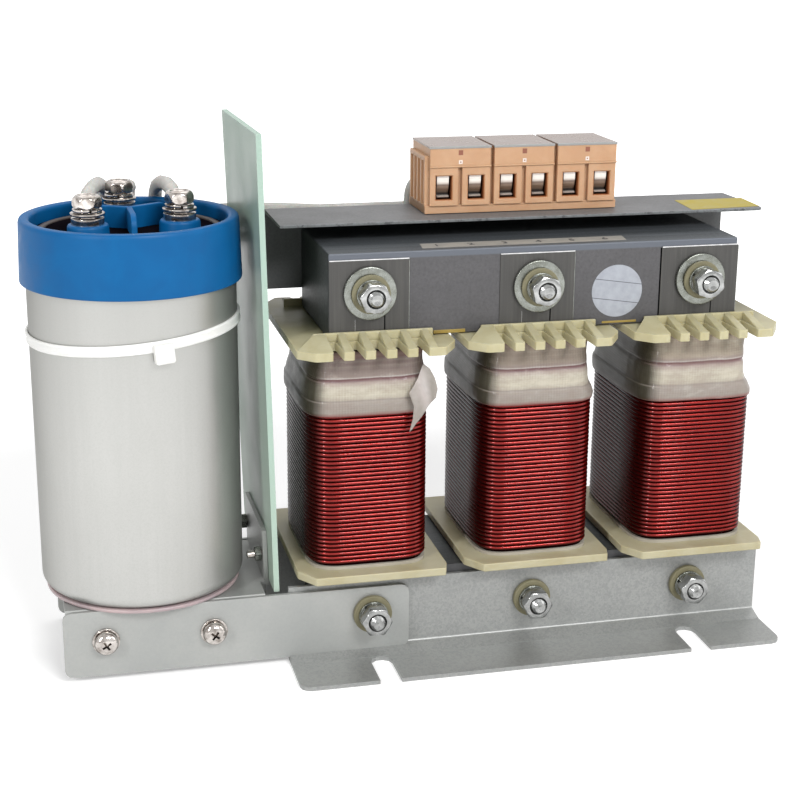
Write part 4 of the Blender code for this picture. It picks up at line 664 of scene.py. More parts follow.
def hexagon_limit(flats, turn=0.0):
    def limit(angle):
        local = (angle - turn) % (math.pi / 3) - math.pi / 6
        return flats / 2 / math.cos(local)
    return limit


def solid_box(shape, low, high, placement=Matrix.Identity(4)):
    verts = [
        shape.verts.new(placement @ Vector((x, y, z)))
        for x in (low[0], high[0]) for y in (low[1], high[1]) for z in (low[2], high[2])
    ]
    for face in ((0, 1, 3, 2), (4, 6, 7, 5), (0, 4, 5, 1), (2, 3, 7, 6), (0, 2, 6, 4), (1, 5, 7, 3)):
        shape.faces.new([verts[i] for i in face])
    return shape


def loft(shape, rings, closed_ends=True, around=True):
    """Faces between rings of vertices of the same count."""
    for first, second in zip(rings, rings[1:]):
        count = len(first)
        for i in range(count if around else count - 1):
            j = (i + 1) % count
            shape.faces.new((first[i], first[j], second[j], second[i]))
    if closed_ends:
        shape.faces.new(list(reversed(rings[0])))
        shape.faces.new(rings[-1])
    return shape


def swept(shape, path, section, upward=Vector((0, 0, 1))):
    """Sweep a closed section of (side, up) points along a path of points."""
    rings = []
    count = len(path)
    for i, point in enumerate(path):
        ahead = (path[min(i + 1, count - 1)] - path[max(i - 1, 0)]).normalized()
        side = ahead.cross(upward).normalized()
        up = side.cross(ahead).normalized()
        rings.append([shape.verts.new(point + side * a + up * b) for a, b in section])
    return loft(shape, rings)


def circle_section(radius, count):
    return [
        (radius * math.cos(FULL_TURN * i / count), radius * math.sin(FULL_TURN * i / count)) for i in range(count)
    ]


# ---------------------------------------------------------------------------
# Sheet metal, core and barrier
# ---------------------------------------------------------------------------

def make_sheet_metal():
    for node in ("front_foot_bracket", "rear_foot_bracket"):
        dressed(node, ZINC_SHEET, 0.0005, 3)
    for node in ("front_strip", "rear_strip", "capacitor_tray"):
        dressed(node, ZINC_STRIP, 0.00035, 2)
    make_top_plate()
    for side in (1, -1):
        make_bend_fillet(side)


def make_top_plate():
    """The plate's horizontal sheet is thinner than its web, and its front right corner is rounded."""
    low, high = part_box("top_plate")
    shape = copy_of("top_plate")
    for vert in shape.verts:
        if high.z - 0.0030 < vert.co.z < high.z - 0.0015 and vert.co.y < low.y + 0.0400:
            vert.co.z += 0.0007
        if vert.co.x > high.x - 0.003:
            vert.co.x += 0.0026 if vert.co.y < low.y + 0.0400 else 0.0012
    corner = []
    for edge in shape.edges:
        a, b = edge.verts
        upright = abs(a.co.x - b.co.x) < 0.0002 and abs(a.co.y - b.co.y) < 0.0002
        if upright and a.co.x > high.x - 0.001 and a.co.y < low.y + 0.001:
            corner.append(edge)
    bmesh.ops.bevel(shape, geom=corner, offset=0.0035, segments=5, affect="EDGES", profile=0.5)
    bevelled(piece("dressed_top_plate", shape, PLATE_PAINT, ("top_plate",)), 0.0003, 2)


def make_bend_fillet(side):
    """The foot angle's bend: the foot rises a little toward the wall and meets it in a small curve."""
    low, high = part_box("front_foot_bracket")
    face = -0.0363
    top = 0.0020
    radius = 0.0013
    slope = [(face + 0.0006, top - 0.0006), (face - 0.0085, top - 0.0006), (face - 0.0085, top + 0.0001)]
    steps = 6
    arc = []
    for k in range(steps + 1):
        angle = math.pi / 2 * (0.2 + 0.8 * k / steps)
        arc.append((face - radius + radius * math.sin(angle), top + 0.0022 + radius - radius * math.cos(angle)))
    profile = slope + arc + [(face + 0.0006, top + 0.0022 + radius)]
    shape = bmesh.new()
    rings = []
    for x in (low.x + 0.0001, high.x - 0.0001):
        rings.append([shape.verts.new((x if side > 0 else low.x + high.x - x, y * side, z)) for y, z in profile])
    loft(shape, rings)
    piece(f"bend_fillet_{'front' if side > 0 else 'rear'}", shape, ZINC_SHEET, (), 40.0)


SEAM = moulded("joint_gap", rgb(9, 9, 10), rgb(5, 5, 6), 0.7, 0.0, (1.0, 1.0, 1.0), shine=0.0)


def make_core():
    dressed("core_lower", CORE_VARNISH_PAINTED_SHADE, 0.0003, 1)
    low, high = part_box("core_upper_yoke")
    front = low.y + 0.0005
    shape = bmesh.new()
    solid_box(shape, (low.x, front, low.z), (high.x, high.y, high.z))
    yoke = piece("yoke_stack", shape, YOKE_VARNISH, ("core_upper_yoke",))
    bevelled(yoke, 0.0008, 3)
    for side in SIDES:
        x = LIMB_X[side]
        top = high.z - 0.0034
        left = x - 0.0197 if side == "left" else x - 0.0187
        right = x + 0.0178 if side != "right" else high.x + 0.0004
        shape = bmesh.new()
        solid_box(shape, (left, low.y, low.z + 0.0002), (right, front + 0.0003, top))
        bevelled(piece("limb_end_" + side, shape, LIMB_STEEL), 0.00018, 2)
        # Bright strips on the limb end's top edge and one slot edge: painted highlight.
        shape = bmesh.new()
        solid_box(shape, (left + 0.0002, low.y - 0.0001, top - 0.0001), (right - 0.0001, low.y + 0.0004, top + 0.00034))
        if side != "right":
            solid_box(shape, (x - 0.0077, low.y - 0.00002, low.z + 0.0002), (x - 0.0076, front, low.z + 0.009))
        piece("limb_edge_highlight_" + side, shape, EDGE_PAINTED_HIGHLIGHT)
        # A thin plated strip down the limb end's right edge: painted highlight.
        shape = bmesh.new()
        solid_box(shape, (right - 0.0001, low.y + 0.00002, low.z + 0.0004), (right + 0.0001, low.y + 0.0004, top - 0.0006))
        piece("limb_side_highlight_" + side, shape, ZINC_PLATE)
        shape = bmesh.new()
        joint = x + (0.0073 if side == "right" else 0.0060)
        solid_box(shape, (joint, low.y - 0.00004, low.z + 0.0002), (joint + 0.0006, front, low.z + 0.012))
        if side == "right":
            solid_box(shape, (left - 0.0006, low.y + 0.0003, low.z + 0.0002), (left, front + 0.0003, top - 0.0002))
        piece("limb_joint_" + side, shape, SEAM)
    shape = bmesh.new()
    for left, right, bottom in ((0.0076, 0.0230, 0.1583), (0.0905, 0.1078, 0.1589)):
        solid_box(shape, (left, front - 0.0003, bottom), (right, front + 0.0006, 0.1600))
    bevelled(piece("yoke_paper", shape, AMBER), 0.0002, 2)


BOLT_SHIFT = {
    ("upper", "left"): (-0.0009, 0.0014), ("upper", "centre"): (0.0, 0.0010), ("upper", "right"): (0.0009, 0.0008),
    ("lower", "left"): (-0.0003, 0.0004), ("lower", "centre"): (0.0006, 0.0003), ("lower", "right"): (0.0027, 0.0003),
}


AMBER = moulded("amber_paper", rgb(150, 128, 62), rgb(120, 98, 44), 0.45, 0.2, (1.0, 0.7, 0.3))


COMB_TOP = 0.1577
COMB_THICKNESS = 0.0040
COMB_DEEP = 0.0560
RIM_FRONT = -0.0366
RIM_BACK = -0.0348
RIM_TOP = 0.1617
TOOTH_PITCH = 0.0098
SLOT_WIDTH = 0.0047
SLOT_DEPTH = 0.0182
COMB_SHIFT = {"left": 0.0, "centre": -0.0002, "right": 0.0010}


def comb_outline(wide, deep):
    """The comb flange seen from above, with its wire slots open to the front and to the rear."""
    points = [(-wide, -deep + 0.0075), (-wide + 0.0075, -deep)]
    for i in range(5):
        left = (i - 2) * TOOTH_PITCH - SLOT_WIDTH / 2
        right = left + SLOT_WIDTH
        points += [(left, -deep), (left + 0.0003, -deep + SLOT_DEPTH), (right - 0.0003, -deep + SLOT_DEPTH), (right, -deep)]
    points += [(wide - 0.0075, -deep), (wide, -deep + 0.012)]
    return points + [(-x, -y) for x, y in points]


def plate_between(shape, outline, bottom, top, placement):
    rings = [[shape.verts.new(placement @ Vector((x, y, z))) for x, y in outline] for z in (bottom, top)]
    return loft(shape, rings)


def wedge(shape, base, high_edge, placement):
    """A sloping block: its base outline at the flange's top, with only high_edge lifted to the rim's top."""
    bottom = [shape.verts.new(placement @ Vector((x, y, COMB_TOP - 0.0008))) for x, y in base]
    upper = []
    for i, (x, y) in enumerate(base):
        z = RIM_TOP - 0.0002 if i in high_edge else COMB_TOP + 0.00015
        upper.append(shape.verts.new(placement @ Vector((x, y, z))))
    for i in range(len(base)):
        j = (i + 1) % len(base)
        shape.faces.new((bottom[i], bottom[j], upper[j], upper[i]))
    shape.faces.new(list(reversed(bottom)))
    for i in range(1, len(base) - 1):
        shape.faces.new((upper[0], upper[i], upper[i + 1]))


def make_bobbin(side):
    node = "bobbin_" + side
    low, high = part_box(node)
    wide = (high.x - low.x) / 2
    place = Matrix.Translation(((low.x + high.x) / 2, 0, 0))
    comb_place = place @ Matrix.Translation((COMB_SHIFT[side], 0, 0))
    shape = bmesh.new()
    outline = soften(comb_outline(wide, COMB_DEEP), 0.0011, 3)
    plate_between(shape, outline, COMB_TOP - COMB_THICKNESS, COMB_TOP, comb_place)
    bevelled(piece("comb_" + side, shape, IVORY, (node,), 35.0), 0.0006, 3)

    shape = bmesh.new()
    for mirror in (1, -1):
        flip = comb_place @ Matrix.Diagonal((mirror, mirror, 1, 1))
        solid_box(shape, (-0.0277, RIM_FRONT, COMB_TOP - 0.001), (0.0288, RIM_BACK, RIM_TOP), flip)
        tip = -COMB_DEEP + 0.0007
        back = RIM_FRONT + 0.0004
        for i in range(5):
            centre = (i - 1.5) * TOOTH_PITCH
            half = 0.0023
            slim = 0.0016
            base = [(centre - slim, back), (centre - half + 0.0001, tip + 0.0012), (centre - half + 0.0009, tip)]
            base += [(centre + half - 0.0009, tip), (centre + half - 0.0001, tip + 0.0012), (centre + slim, back)]
            wedge(shape, base, (0, 5), flip)
        left = -2.5 * TOOTH_PITCH + SLOT_WIDTH / 2 + 0.0003
        base = [(-0.0277, back), (-wide + 0.0009, -COMB_DEEP + 0.0082), (-wide + 0.0080, tip), (left, tip), (left, back)]
        wedge(shape, base, (0, 4), flip)
    bevelled(piece("comb_ribs_" + side, shape, IVORY, (), 35.0), 0.0005, 3)

    x1 = wide - 0.0015
    y1 = 0.0485
    shift_x, shift_y = FLANGE_SHIFT[side]
    low_place = place @ Matrix.Translation((shift_x, shift_y, 0))
    outline = [(-x1, -y1 + 0.0110), (-x1 + 0.0072, -y1), (x1 - 0.0020, -y1), (x1, -y1 + 0.0070)]
    outline += [(-x, -y) for x, y in outline]
    shape = bmesh.new()
    plate_between(shape, soften(outline, 0.0009, 3), 0.0425, 0.0465, low_place)
    bevelled(piece("flange_" + side, shape, FLANGE, (), 35.0), 0.0006, 3)
    shape = bmesh.new()
    outline = soften([(-0.0224, -0.0364), (0.0224, -0.0364), (0.0224, 0.0364), (-0.0224, 0.0364)], 0.005, 4)
    plate_between(shape, outline, 0.0430, 0.1570, place)
    piece("bobbin_tube_" + side, shape, IVORY, (), 35.0)


def make_barrier():
    """The sheet is slightly warped: its rear edge leans to the left above the middle."""
    low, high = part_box("barrier_sheet")
    shape = copy_of("barrier_sheet")
    for vert in shape.verts:
        rearward = (vert.co.y - low.y) / (high.y - low.y)
        rise = min(1.0, max(0.0, (vert.co.z - 0.06) / 0.12))
        vert.co.x -= 0.0023 * rearward * rise
    made = piece("dressed_barrier_sheet", shape, LAMINATE, ("barrier_sheet",))
    bevelled(made, 0.00025, 2)


# ---------------------------------------------------------------------------
# Fasteners
# ---------------------------------------------------------------------------

def washer(name, low, high, radius, material, bore, replaced, offset=(0.0, 0.0)):
    """A flat washer facing front between low.y and high.y, its centre moved in x and z by offset."""
    middle = (low + high) / 2
    thickness = high.y - low.y
    profile = soften([(bore, 0), (radius, 0), (radius, thickness), (bore, thickness)], thickness * 0.22, 3)
    shape = bmesh.new()
    lathe(shape, profile, 64, Matrix.Translation((middle.x + offset[0], high.y, middle.z + offset[1])) @ FACING_FRONT)
    return piece(name, shape, material, replaced, 50.0)


def split_ring(shape, inner, outer, thickness, placement, start, lift=0.0005, gap=0.16):
    """A spring washer: one flat turn of square wire, cut through, its ends a little apart."""
    section = soften(
        [(inner, 0), (outer, 0), (outer, thickness), (inner, thickness)], min(thickness, outer - inner) * 0.16, 2
    )
    rings = []
    steps = 60
    for k in range(steps + 1):
        t = k / steps
        angle = start + gap / 2 + (FULL_TURN - gap) * t
        rise = lift * (t - 0.5)
        rings.append(
            [
                shape.verts.new(placement @ Vector((r * math.cos(angle), r * math.sin(angle), h + rise)))
                for r, h in section
            ]
        )
    loft(shape, rings)


def nut_shape(shape, flats, height, bore, placement, turn):
    """A hexagon nut with both ends chamfered and a countersunk bore."""
    tip = flats / 2 / math.cos(math.pi / 6)
    bevel = (tip - flats / 2) * 0.62
    crown = flats / 2 * 0.96
    profile = [
        (bore, 0.0006), (bore + 0.0006, 0.0), (crown, 0.0), (tip + 0.00002, bevel),
        (tip + 0.00002, height - bevel), (crown, height), (bore + 0.0006, height), (bore, height - 0.0006),
    ]
    fine = []
    for (r0, h0), (r1, h1) in zip(profile, profile[1:] + profile[:1]):
        parts = 5 if abs(r0 - r1) > 0.0008 and abs(h0 - h1) > 0.0002 else 1
        for k in range(parts):
            t = k / parts
            fine.append((r0 + (r1 - r0) * t, h0 + (h1 - h0) * t))
    lathe(shape, fine, 72, placement, True, hexagon_limit(flats, turn))


def stud_profile(radius, length, pitch, threaded):
    """Rod from z = 0 to its end with a threaded last stretch and a dished end face."""
    profile = [(0.0, 0.0), (radius, 0.0), (radius, length - threaded)]
    turns = int(threaded / pitch)
    start = length - 0.0009 - turns * pitch
    for k in range(turns):
        base = start + k * pitch
        profile += [(radius, base + pitch * 0.2), (radius, base + pitch * 0.35)]
        profile += [(radius - pitch * 0.5, base + pitch * 0.78), (radius - pitch * 0.5, base + pitch * 0.88)]
    profile += [(radius - 0.0003, length - 0.0007), (radius - 0.0010, length), (radius * 0.35, length - 0.0001)]
    profile += [(radius * 0.2, length - 0.00035), (0.0, length - 0.0004)]
    return profile


def make_core_fasteners():
    draw = random.Random(7)
    for row in ("upper", "lower"):
        for side in SIDES:
            offset = BOLT_SHIFT[row, side]
            rings = [f"{row}_insulator_{side}"]
            if row == "upper":
                rings.insert(0, f"upper_washer_{side}")
            for node in rings:
                low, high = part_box(node)
                radius = (high.z - low.z) / 2
                if node.startswith("upper_washer"):
                    washer("dressed_" + node, low, high, radius + 0.0004, ZINC_PLATE, 0.0046, (node,), offset)
                else:
                    wide = 0.0091 if row == "upper" else radius
                    washer("dressed_" + node, low, high, wide, FIBRE, 0.0046, (node,), offset)
            low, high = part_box(f"{row}_nut_{side}")
            middle = (low + high) / 2
            x, z = middle.x + offset[0], middle.z + offset[1]
            turn = draw.uniform(-0.35, 0.35)
            flat = 0.0012
            face_low = Vector((low.x, high.y - flat, low.z))
            washer(f"{row}_flat_washer_{side}", face_low, high, 0.0071, ZINC_PLATE, 0.0040, (), offset)
            spring = 0.0020
            seat = Matrix.Translation((x, high.y - flat, z)) @ FACING_FRONT
            shape = bmesh.new()
            split_ring(shape, 0.0040, 0.0066, spring - 0.0003, seat, draw.uniform(2.2, 3.0), 0.0005, 0.2)
            start = seat @ Matrix.Translation((0, 0, spring + 0.0001))
            height = (high.y - low.y) - spring - 0.0001
            nut_shape(shape, 0.0130, height, 0.0039, start, turn)
            piece(f"dressed_{row}_nut_{side}", shape, ZINC_NUT, (f"{row}_nut_{side}",), 28.0)

            low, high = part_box(f"{row}_bolt_{side}")
            place = Matrix.Translation((x, high.y, z)) @ FACING_FRONT
            shape = bmesh.new()
            head = soften([(0, 0.0), (0.0062, 0.0), (0.0076, 0.0009), (0.0076, 0.0053), (0, 0.0053)], 0.0002, 2, False)
            lathe(shape, head, 72, place, False, hexagon_limit(0.0130, draw.uniform(-0.3, 0.3)))
            collar = soften([(0, 0.0052), (0.0080, 0.0052), (0.0080, 0.0068), (0, 0.0068)], 0.0003, 2, False)
            lathe(shape, collar, 64, place, False)
            length = high.y - low.y - 0.0060 + flat
            rod = stud_profile(0.0035, length, 0.00125, 0.0125)
            lathe(shape, rod, 48, place @ Matrix.Translation((0, 0, 0.0060)), False)
            piece(f"dressed_{row}_bolt_{side}", shape, ZINC_NUT, (f"{row}_bolt_{side}",), 32.0)


def carve(made, cutters):
    """Cut meshes out of a piece, keep the result as its mesh and drop the cutters."""
    for cutter in cutters:
        step = made.modifiers.new("cut", "BOOLEAN")
        step.operation = "DIFFERENCE"
        step.solver = "EXACT"
        step.object = cutter
    graph = bpy.context.evaluated_depsgraph_get()
    mesh = bpy.data.meshes.new_from_object(made.evaluated_get(graph))
    made.modifiers.clear()
    made.data = mesh
    for cutter in cutters:
        bpy.data.objects.remove(cutter, do_unlink=True)
    return made


def tool(name, shape, placement):
    bmesh.ops.recalc_face_normals(shape, faces=shape.faces)
    bmesh.ops.transform(shape, matrix=placement, verts=shape.verts)
    mesh = bpy.data.meshes.new(name)
    shape.to_mesh(mesh)
    shape.free()
    made = bpy.data.objects.new(name, mesh)
    bpy.context.scene.collection.objects.link(made)
    return made


def cross_recess(size, depth, height, placement, turn):
    """Tool for a cross recess: two tapered bars, wide above and narrow below."""
    made = []
    for k in range(2):
        shape = bmesh.new()
        rings = []
        for z, half, wide in ((height - depth, size * 0.42, size * 0.12), (height + 0.002, size * 1.15, size * 0.24)):
            rings.append(
                [shape.verts.new((x, y, z)) for x, y in ((-half, -wide), (half, -wide), (half, wide), (-half, wide))]
            )
        loft(shape, rings)
        spin = Matrix.Rotation(turn + k * math.pi / 2, 4, "Z")
        made.append(tool("recess", shape, placement @ spin))
    return made


def pan_screw(name, node, place, head_radius, head_height, washers, shank, length, turn, material):
    """Pan head screw with a cross recess over its washers. place has the seat at z = 0 and the head above."""
    shape = bmesh.new()
    z = 0.0
    for radius, thickness, split in washers:
        if split:
            split_ring(shape, shank + 0.0002, radius, thickness, place @ Matrix.Translation((0, 0, z)), turn + 0.7, 0.0003)
        else:
            ring = [(shank + 0.0001, z), (radius, z), (radius, z + thickness), (shank + 0.0001, z + thickness)]
            lathe(shape, soften(ring, thickness * 0.3, 3), 56, place)
        z += thickness
    if washers:
        piece(name + "_washers", shape, material, (), 40.0)
    shape = bmesh.new()
    profile = [(0.0, -length), (shank, -length), (shank, z), (head_radius * 0.94, z)]
    steps = 9
    for k in range(steps + 1):
        angle = math.pi / 2 * k / steps
        profile.append((head_radius * math.cos(angle) ** 0.8, z + head_height * (0.18 + 0.82 * math.sin(angle))))
    profile[-1] = (0.0, z + head_height)
    lathe(shape, profile, 64, place, False)
    made = piece(name, shape, material, (node,), 30.0)
    carve(made, cross_recess(head_radius * 0.5, head_height * 0.75, z + head_height, place, turn))
    made.data.shade_smooth()
    made.data.set_sharp_from_angle(angle=math.radians(30.0))
    return made


def make_strip_screws():
    draw = random.Random(11)
    for number in (1, 2):
        for row, facing in (("front", FACING_FRONT), ("rear", FACING_REAR)):
            node = f"{row}_strip_screw_{number}"
            low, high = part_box(node)
            x, z = (low.x + high.x) / 2, (low.z + high.z) / 2
            seat = low.y + 0.0045 if row == "front" else high.y - 0.0045
            place = Matrix.Translation((x, seat, z)) @ facing
            pan_screw(
                "dressed_" + node, node, place, 0.0056, 0.0040,
                ((0.0064, 0.0009, False), (0.0050, 0.0012, True)), 0.0024, 0.0085, draw.uniform(0.2, 1.0), NICKEL,
            )


def make_barrier_screws():
    lean = Matrix.Rotation(-math.radians(1.3), 4, "Y")
    for number in (1, 2):
        node = f"barrier_screw_{number}"
        low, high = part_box(node)
        y, z = (low.y + high.y) / 2, (low.z + high.z) / 2
        seat_x = high.x - 0.0031
        along = Matrix.Translation((seat_x, y, z)) @ lean @ Matrix.Rotation(math.pi / 2, 4, "Y")
        pan_screw("dressed_" + node, node, along, 0.0039, 0.0028, (), 0.0019, 0.0120, 0.4 + number, NICKEL)
        shape = bmesh.new()
        nut_seat = along @ Matrix.Translation((0, 0, -0.0086))
        nut_shape(shape, 0.0070, 0.0030, 0.0019, nut_seat, 0.2)
        rod = [(0.0018, 0.0)]
        for k in range(9):
            rod += [(0.0019, 0.0002 + k * 0.0007), (0.00155, 0.00055 + k * 0.0007)]
        rod += [(0.0014, 0.0068), (0.0, 0.0068)]
        flipped = along @ Matrix.Translation((0, 0, -0.0055)) @ Matrix.Rotation(math.pi, 4, "X")
        lathe(shape, [(0.0, 0.0)] + rod, 32, flipped, False)
        piece("dressed_barrier_nut_" + str(number), shape, ZINC_PLATE, (), 30.0)


# ---------------------------------------------------------------------------
# Coils
# ---------------------------------------------------------------------------

COIL_POWER = 5.5
COIL_BOTTOM = 0.0478
COIL_TOP = 0.1534
WIRE_PITCH = 0.00206
WIRE_RADIUS = 0.00096
COIL_SHIFT = {"left": -0.0006, "centre": 0.0019, "right": 0.0032}
FLANGE_SHIFT = {"left": (-0.0002, 0.0), "centre": (0.0014, 0.0), "right": (0.0016, -0.0022)}
OPEN_TURNS = {"left": 36, "centre": 36, "right": 35}
TAPE_HEIGHTS = (0.1238, 0.1270, 0.1300, 0.1350, 0.1400, 0.1450, 0.1532)
TAPE_RIGHT_IN = (0.0001, 0.0010, 0.0027, 0.0037, 0.0040, 0.0030, 0.0008)
TAPE_RIGHT_SHARE = {"left": 0.6, "centre": 1.0, "right": 1.35}
TAPE_DROP = {"left": 0.0011, "centre": 0.0011, "right": 0.0038}
TAPE_PALE = {"left": 0.1, "centre": 0.55, "right": 0.8}
TAPE_LOW = 0.1238
TAPE_HIGH = 0.1537
TAPE_LEFT_IN = (0.0, 0.0, 0.0003, 0.0008, 0.0011, 0.0011, 0.0008)


def coil_outline(angle, grow, side):
    """Point of a coil's rounded outline at an angle, moved outward by grow."""
    power = 2.0 / COIL_POWER
    wide, deep = COIL_SIZE[side]
    c = math.cos(angle)
    s = math.sin(angle)
    x = math.copysign(abs(c) ** power, c) * (wide + grow)
    y = math.copysign(abs(s) ** power, s) * (deep + grow)
    return x, y


def make_coil(side, seed):
    x0 = LIMB_X[side] + COIL_SHIFT[side]
    draw = random.Random(seed)
    shape = bmesh.new()
    steps = 96
    corners = 10
    rings = []
    turns = OPEN_TURNS[side]
    total = turns * steps
    drift = [draw.uniform(-0.00007, 0.00003) for _ in range(turns + 2)]
    for k in range(total + 1):
        angle = FULL_TURN * k / steps
        turn = k / steps
        base = int(turn)
        push = drift[base] + (drift[base + 1] - drift[base]) * (turn - base)
        x, y = coil_outline(angle, -WIRE_RADIUS + push, side)
        before = Vector(coil_outline(angle - 0.01, -WIRE_RADIUS + push, side))
        after = Vector(coil_outline(angle + 0.01, -WIRE_RADIUS + push, side))
        ahead = (after - before).normalized()
        out = Vector((ahead.y, -ahead.x, 0.0))
        z = COIL_BOTTOM + WIRE_PITCH / 2 + WIRE_PITCH * turn
        ring = []
        for j in range(corners):
            spin = FULL_TURN * j / corners
            offset = out * math.cos(spin) * WIRE_RADIUS
            ring.append(shape.verts.new((x0 + x + offset.x, y + offset.y, z + math.sin(spin) * WIRE_RADIUS)))
        rings.append(ring)
    loft(shape, rings)
    piece("wire_turns_" + side, shape, WIRE, ("winding_" + side,), 60.0)
    # The inner turns are a near black core: painted shade between the turns.
    for name, grow, bottom, top, material in (
        ("inner_turns_", -0.0016, COIL_BOTTOM + 0.0002, COIL_BOTTOM + WIRE_PITCH * turns, INNER_TURNS_PAINTED_SHADE),
        ("winding_paper_", -0.0003, 0.0463, COIL_BOTTOM + 0.0001, PAPER),
    ):
        shape = bmesh.new()
        core = []
        for z in (bottom, top):
            ring = []
            for k in range(steps):
                x, y = coil_outline(FULL_TURN * k / steps, grow, side)
                ring.append(shape.verts.new((x0 + x, y, z)))
            core.append(ring)
        loft(shape, core)
        piece(name + side, shape, material, (), 60.0)


def along(points, part):
    """Point at a part (0 to 1) of a line of (x, z) points."""
    place = part * (len(points) - 1)
    index = min(int(place), len(points) - 2)
    return Vector(points[index]).lerp(Vector(points[index + 1]), place - index)


def make_flap():
    """The loose torn end of tape at the left coil's front right corner, curling away from the wire."""
    left = [(0.0000, 0.1466), (-0.0018, 0.1401), (-0.0041, 0.1368), (-0.0063, 0.1335), (-0.0040, 0.1268)]
    left += [(-0.0048, 0.1210), (-0.0066, 0.1152)]
    right = [(0.0006, 0.1470), (0.0034, 0.1446), (0.0055, 0.1404), (0.0067, 0.1352), (0.0060, 0.1309)]
    right += [(0.0014, 0.1241), (-0.0064, 0.1152)]
    rows = 30
    columns = 12
    shape = bmesh.new()
    rings = []
    for i in range(rows + 1):
        start = along(left, i / rows)
        end = along(right, i / rows)
        ring = []
        for j in range(columns + 1):
            x, z = start.lerp(end, j / columns)
            fold = abs((x + 0.0010) - (0.1400 - z) * 0.30)
            curl = 0.0004 + 60.0 * max(0.0, x - 0.001) ** 2 + 5.0 * max(0.0, 0.136 - z) ** 2 + min(fold, 0.004) * 0.35
            curl += noise.noise(Vector((x * 500, 0, z * 500))) * 0.0004
            ring.append(shape.verts.new((x, -0.0428 - curl, z)))
        rings.append(ring)
    loft(shape, rings, closed_ends=False, around=False)
    made = piece("tape_flap", shape, TAPE_FLAP, (), 60.0)
    sheet = made.modifiers.new("thickness", "SOLIDIFY")
    sheet.thickness = 0.00022
    return made


# The flap turns greyer where it curls farthest out, its shaded upper right: painted shade.
TAPE_FLAP = moulded(
    "tape_flap_film", rgb(190, 182, 178), rgb(160, 146, 140), 0.3, 0.2, (1.0, 0.8, 0.7), shine=0.3,
    shade=(-0.0436, -0.0452, rgb(138, 132, 124)),
)


def tape_pull(x, z, wide, share):
    """How far the tape lies in from the wires' sides at a height; none on the flat front and rear."""
    amounts = TAPE_RIGHT_IN if x > 0 else TAPE_LEFT_IN
    index = 0
    while index < len(TAPE_HEIGHTS) - 2 and z > TAPE_HEIGHTS[index + 1]:
        index += 1
    part = (z - TAPE_HEIGHTS[index]) / (TAPE_HEIGHTS[index + 1] - TAPE_HEIGHTS[index])
    part = min(1.0, max(0.0, part))
    amount = amounts[index] + (amounts[index + 1] - amounts[index]) * part
    near_side = min(1.0, max(0.0, (abs(x) / wide - 0.35) / 0.6))
    return math.copysign(amount * near_side * (share if x > 0 else 1.0), x)


def make_tape(side, seed):
    """Overlapping wraps of tape with small wrinkles: a proud lower band, a pale middle and a plain top.

    Toward the rear of the left side the wraps slope down and lie closer to the wire above the band.
    """
    x0 = LIMB_X[side] + COIL_SHIFT[side]
    wide, deep = COIL_SIZE[side]
    stretch = 1.0 + TAPE_DROP[side] / (TAPE_HIGH - TAPE_LOW)
    steps = 120
    profile = [
        (0.0002, 0.1238), (0.0006, 0.1239), (0.0009, 0.1244), (0.0010, 0.1262), (0.0011, 0.1290),
        (0.0011, 0.1302), (0.0007, 0.1307), (0.0007, 0.1314), (0.0011, 0.1340), (0.0012, 0.1370),
        (0.0011, 0.1385), (0.0009, 0.1396), (0.0005, 0.1402), (0.0004, 0.1408), (0.0007, 0.1411),
        (0.0006, 0.1418), (0.0002, 0.1435), (-0.0005, 0.1455), (-0.0010, 0.1480), (-0.0012, 0.1505),
        (-0.0013, 0.1530), (-0.0018, 0.1532),
    ]
    shape = bmesh.new()
    rings = []
    for grow, z in profile:
        ring = []
        for k in range(steps):
            angle = FULL_TURN * k / steps
            x, y = coil_outline(angle, grow, side)
            wave = noise.noise(Vector((x * 90 + seed * 7.0, y * 90, z * 260))) * 0.00028
            wave += noise.noise(Vector((x * 300 + seed, y * 300, z * 60))) * 0.00010
            if grow < 0.0004:
                wave *= 0.2
            if x > 0.02 and y < 0 and 0.126 < z < 0.134:
                wave += 0.0005
            rearward = (y + deep) / (2 * deep) if x < 0 else 0.0
            rise = (z - 0.1239) / (0.1532 - 0.1239)
            wave -= 0.0020 * rearward * min(1.0, max(0.0, (z - 0.1310) / 0.006))
            x, y = coil_outline(angle, grow + wave, side)
            sway = noise.noise(Vector((x * 40, y * 40, seed * 3.0 + z * 10))) * 0.0005 if z < 0.1528 else 0.0
            x -= tape_pull(x, z, wide, TAPE_RIGHT_SHARE[side])
            height = z + sway - 0.0024 * rearward * (1.0 - rise)
            ring.append(shape.verts.new((x0 + x, y, TAPE_HIGH - (TAPE_HIGH - height) * stretch)))
        rings.append(ring)
    loft(shape, rings, closed_ends=False)
    inner = []
    for z in (0.1532, 0.1240):
        ring = []
        for k in range(steps):
            x, y = coil_outline(FULL_TURN * k / steps, -0.0036, side)
            x -= math.copysign(0.0020, x)
            ring.append(shape.verts.new((x0 + x, y, TAPE_HIGH - (TAPE_HIGH - z) * stretch)))
        inner.append(ring)
    loft(shape, [rings[-1], inner[0], inner[1], rings[0]], closed_ends=False)
    film = clear_tape(side, TAPE_DROP[side], TAPE_PALE[side])
    piece("tape_layers_" + side, shape, film, ("tape_wrap_" + side,), 55.0)


def make_bobbins():
    for side in SIDES:
        make_bobbin(side)


# ---------------------------------------------------------------------------
# Terminal block
# ---------------------------------------------------------------------------

POLE_PITCH = 0.0159
BLOCK_CENTRE = CORE_X + 0.00265
BLOCK_FRONT = 0.0015


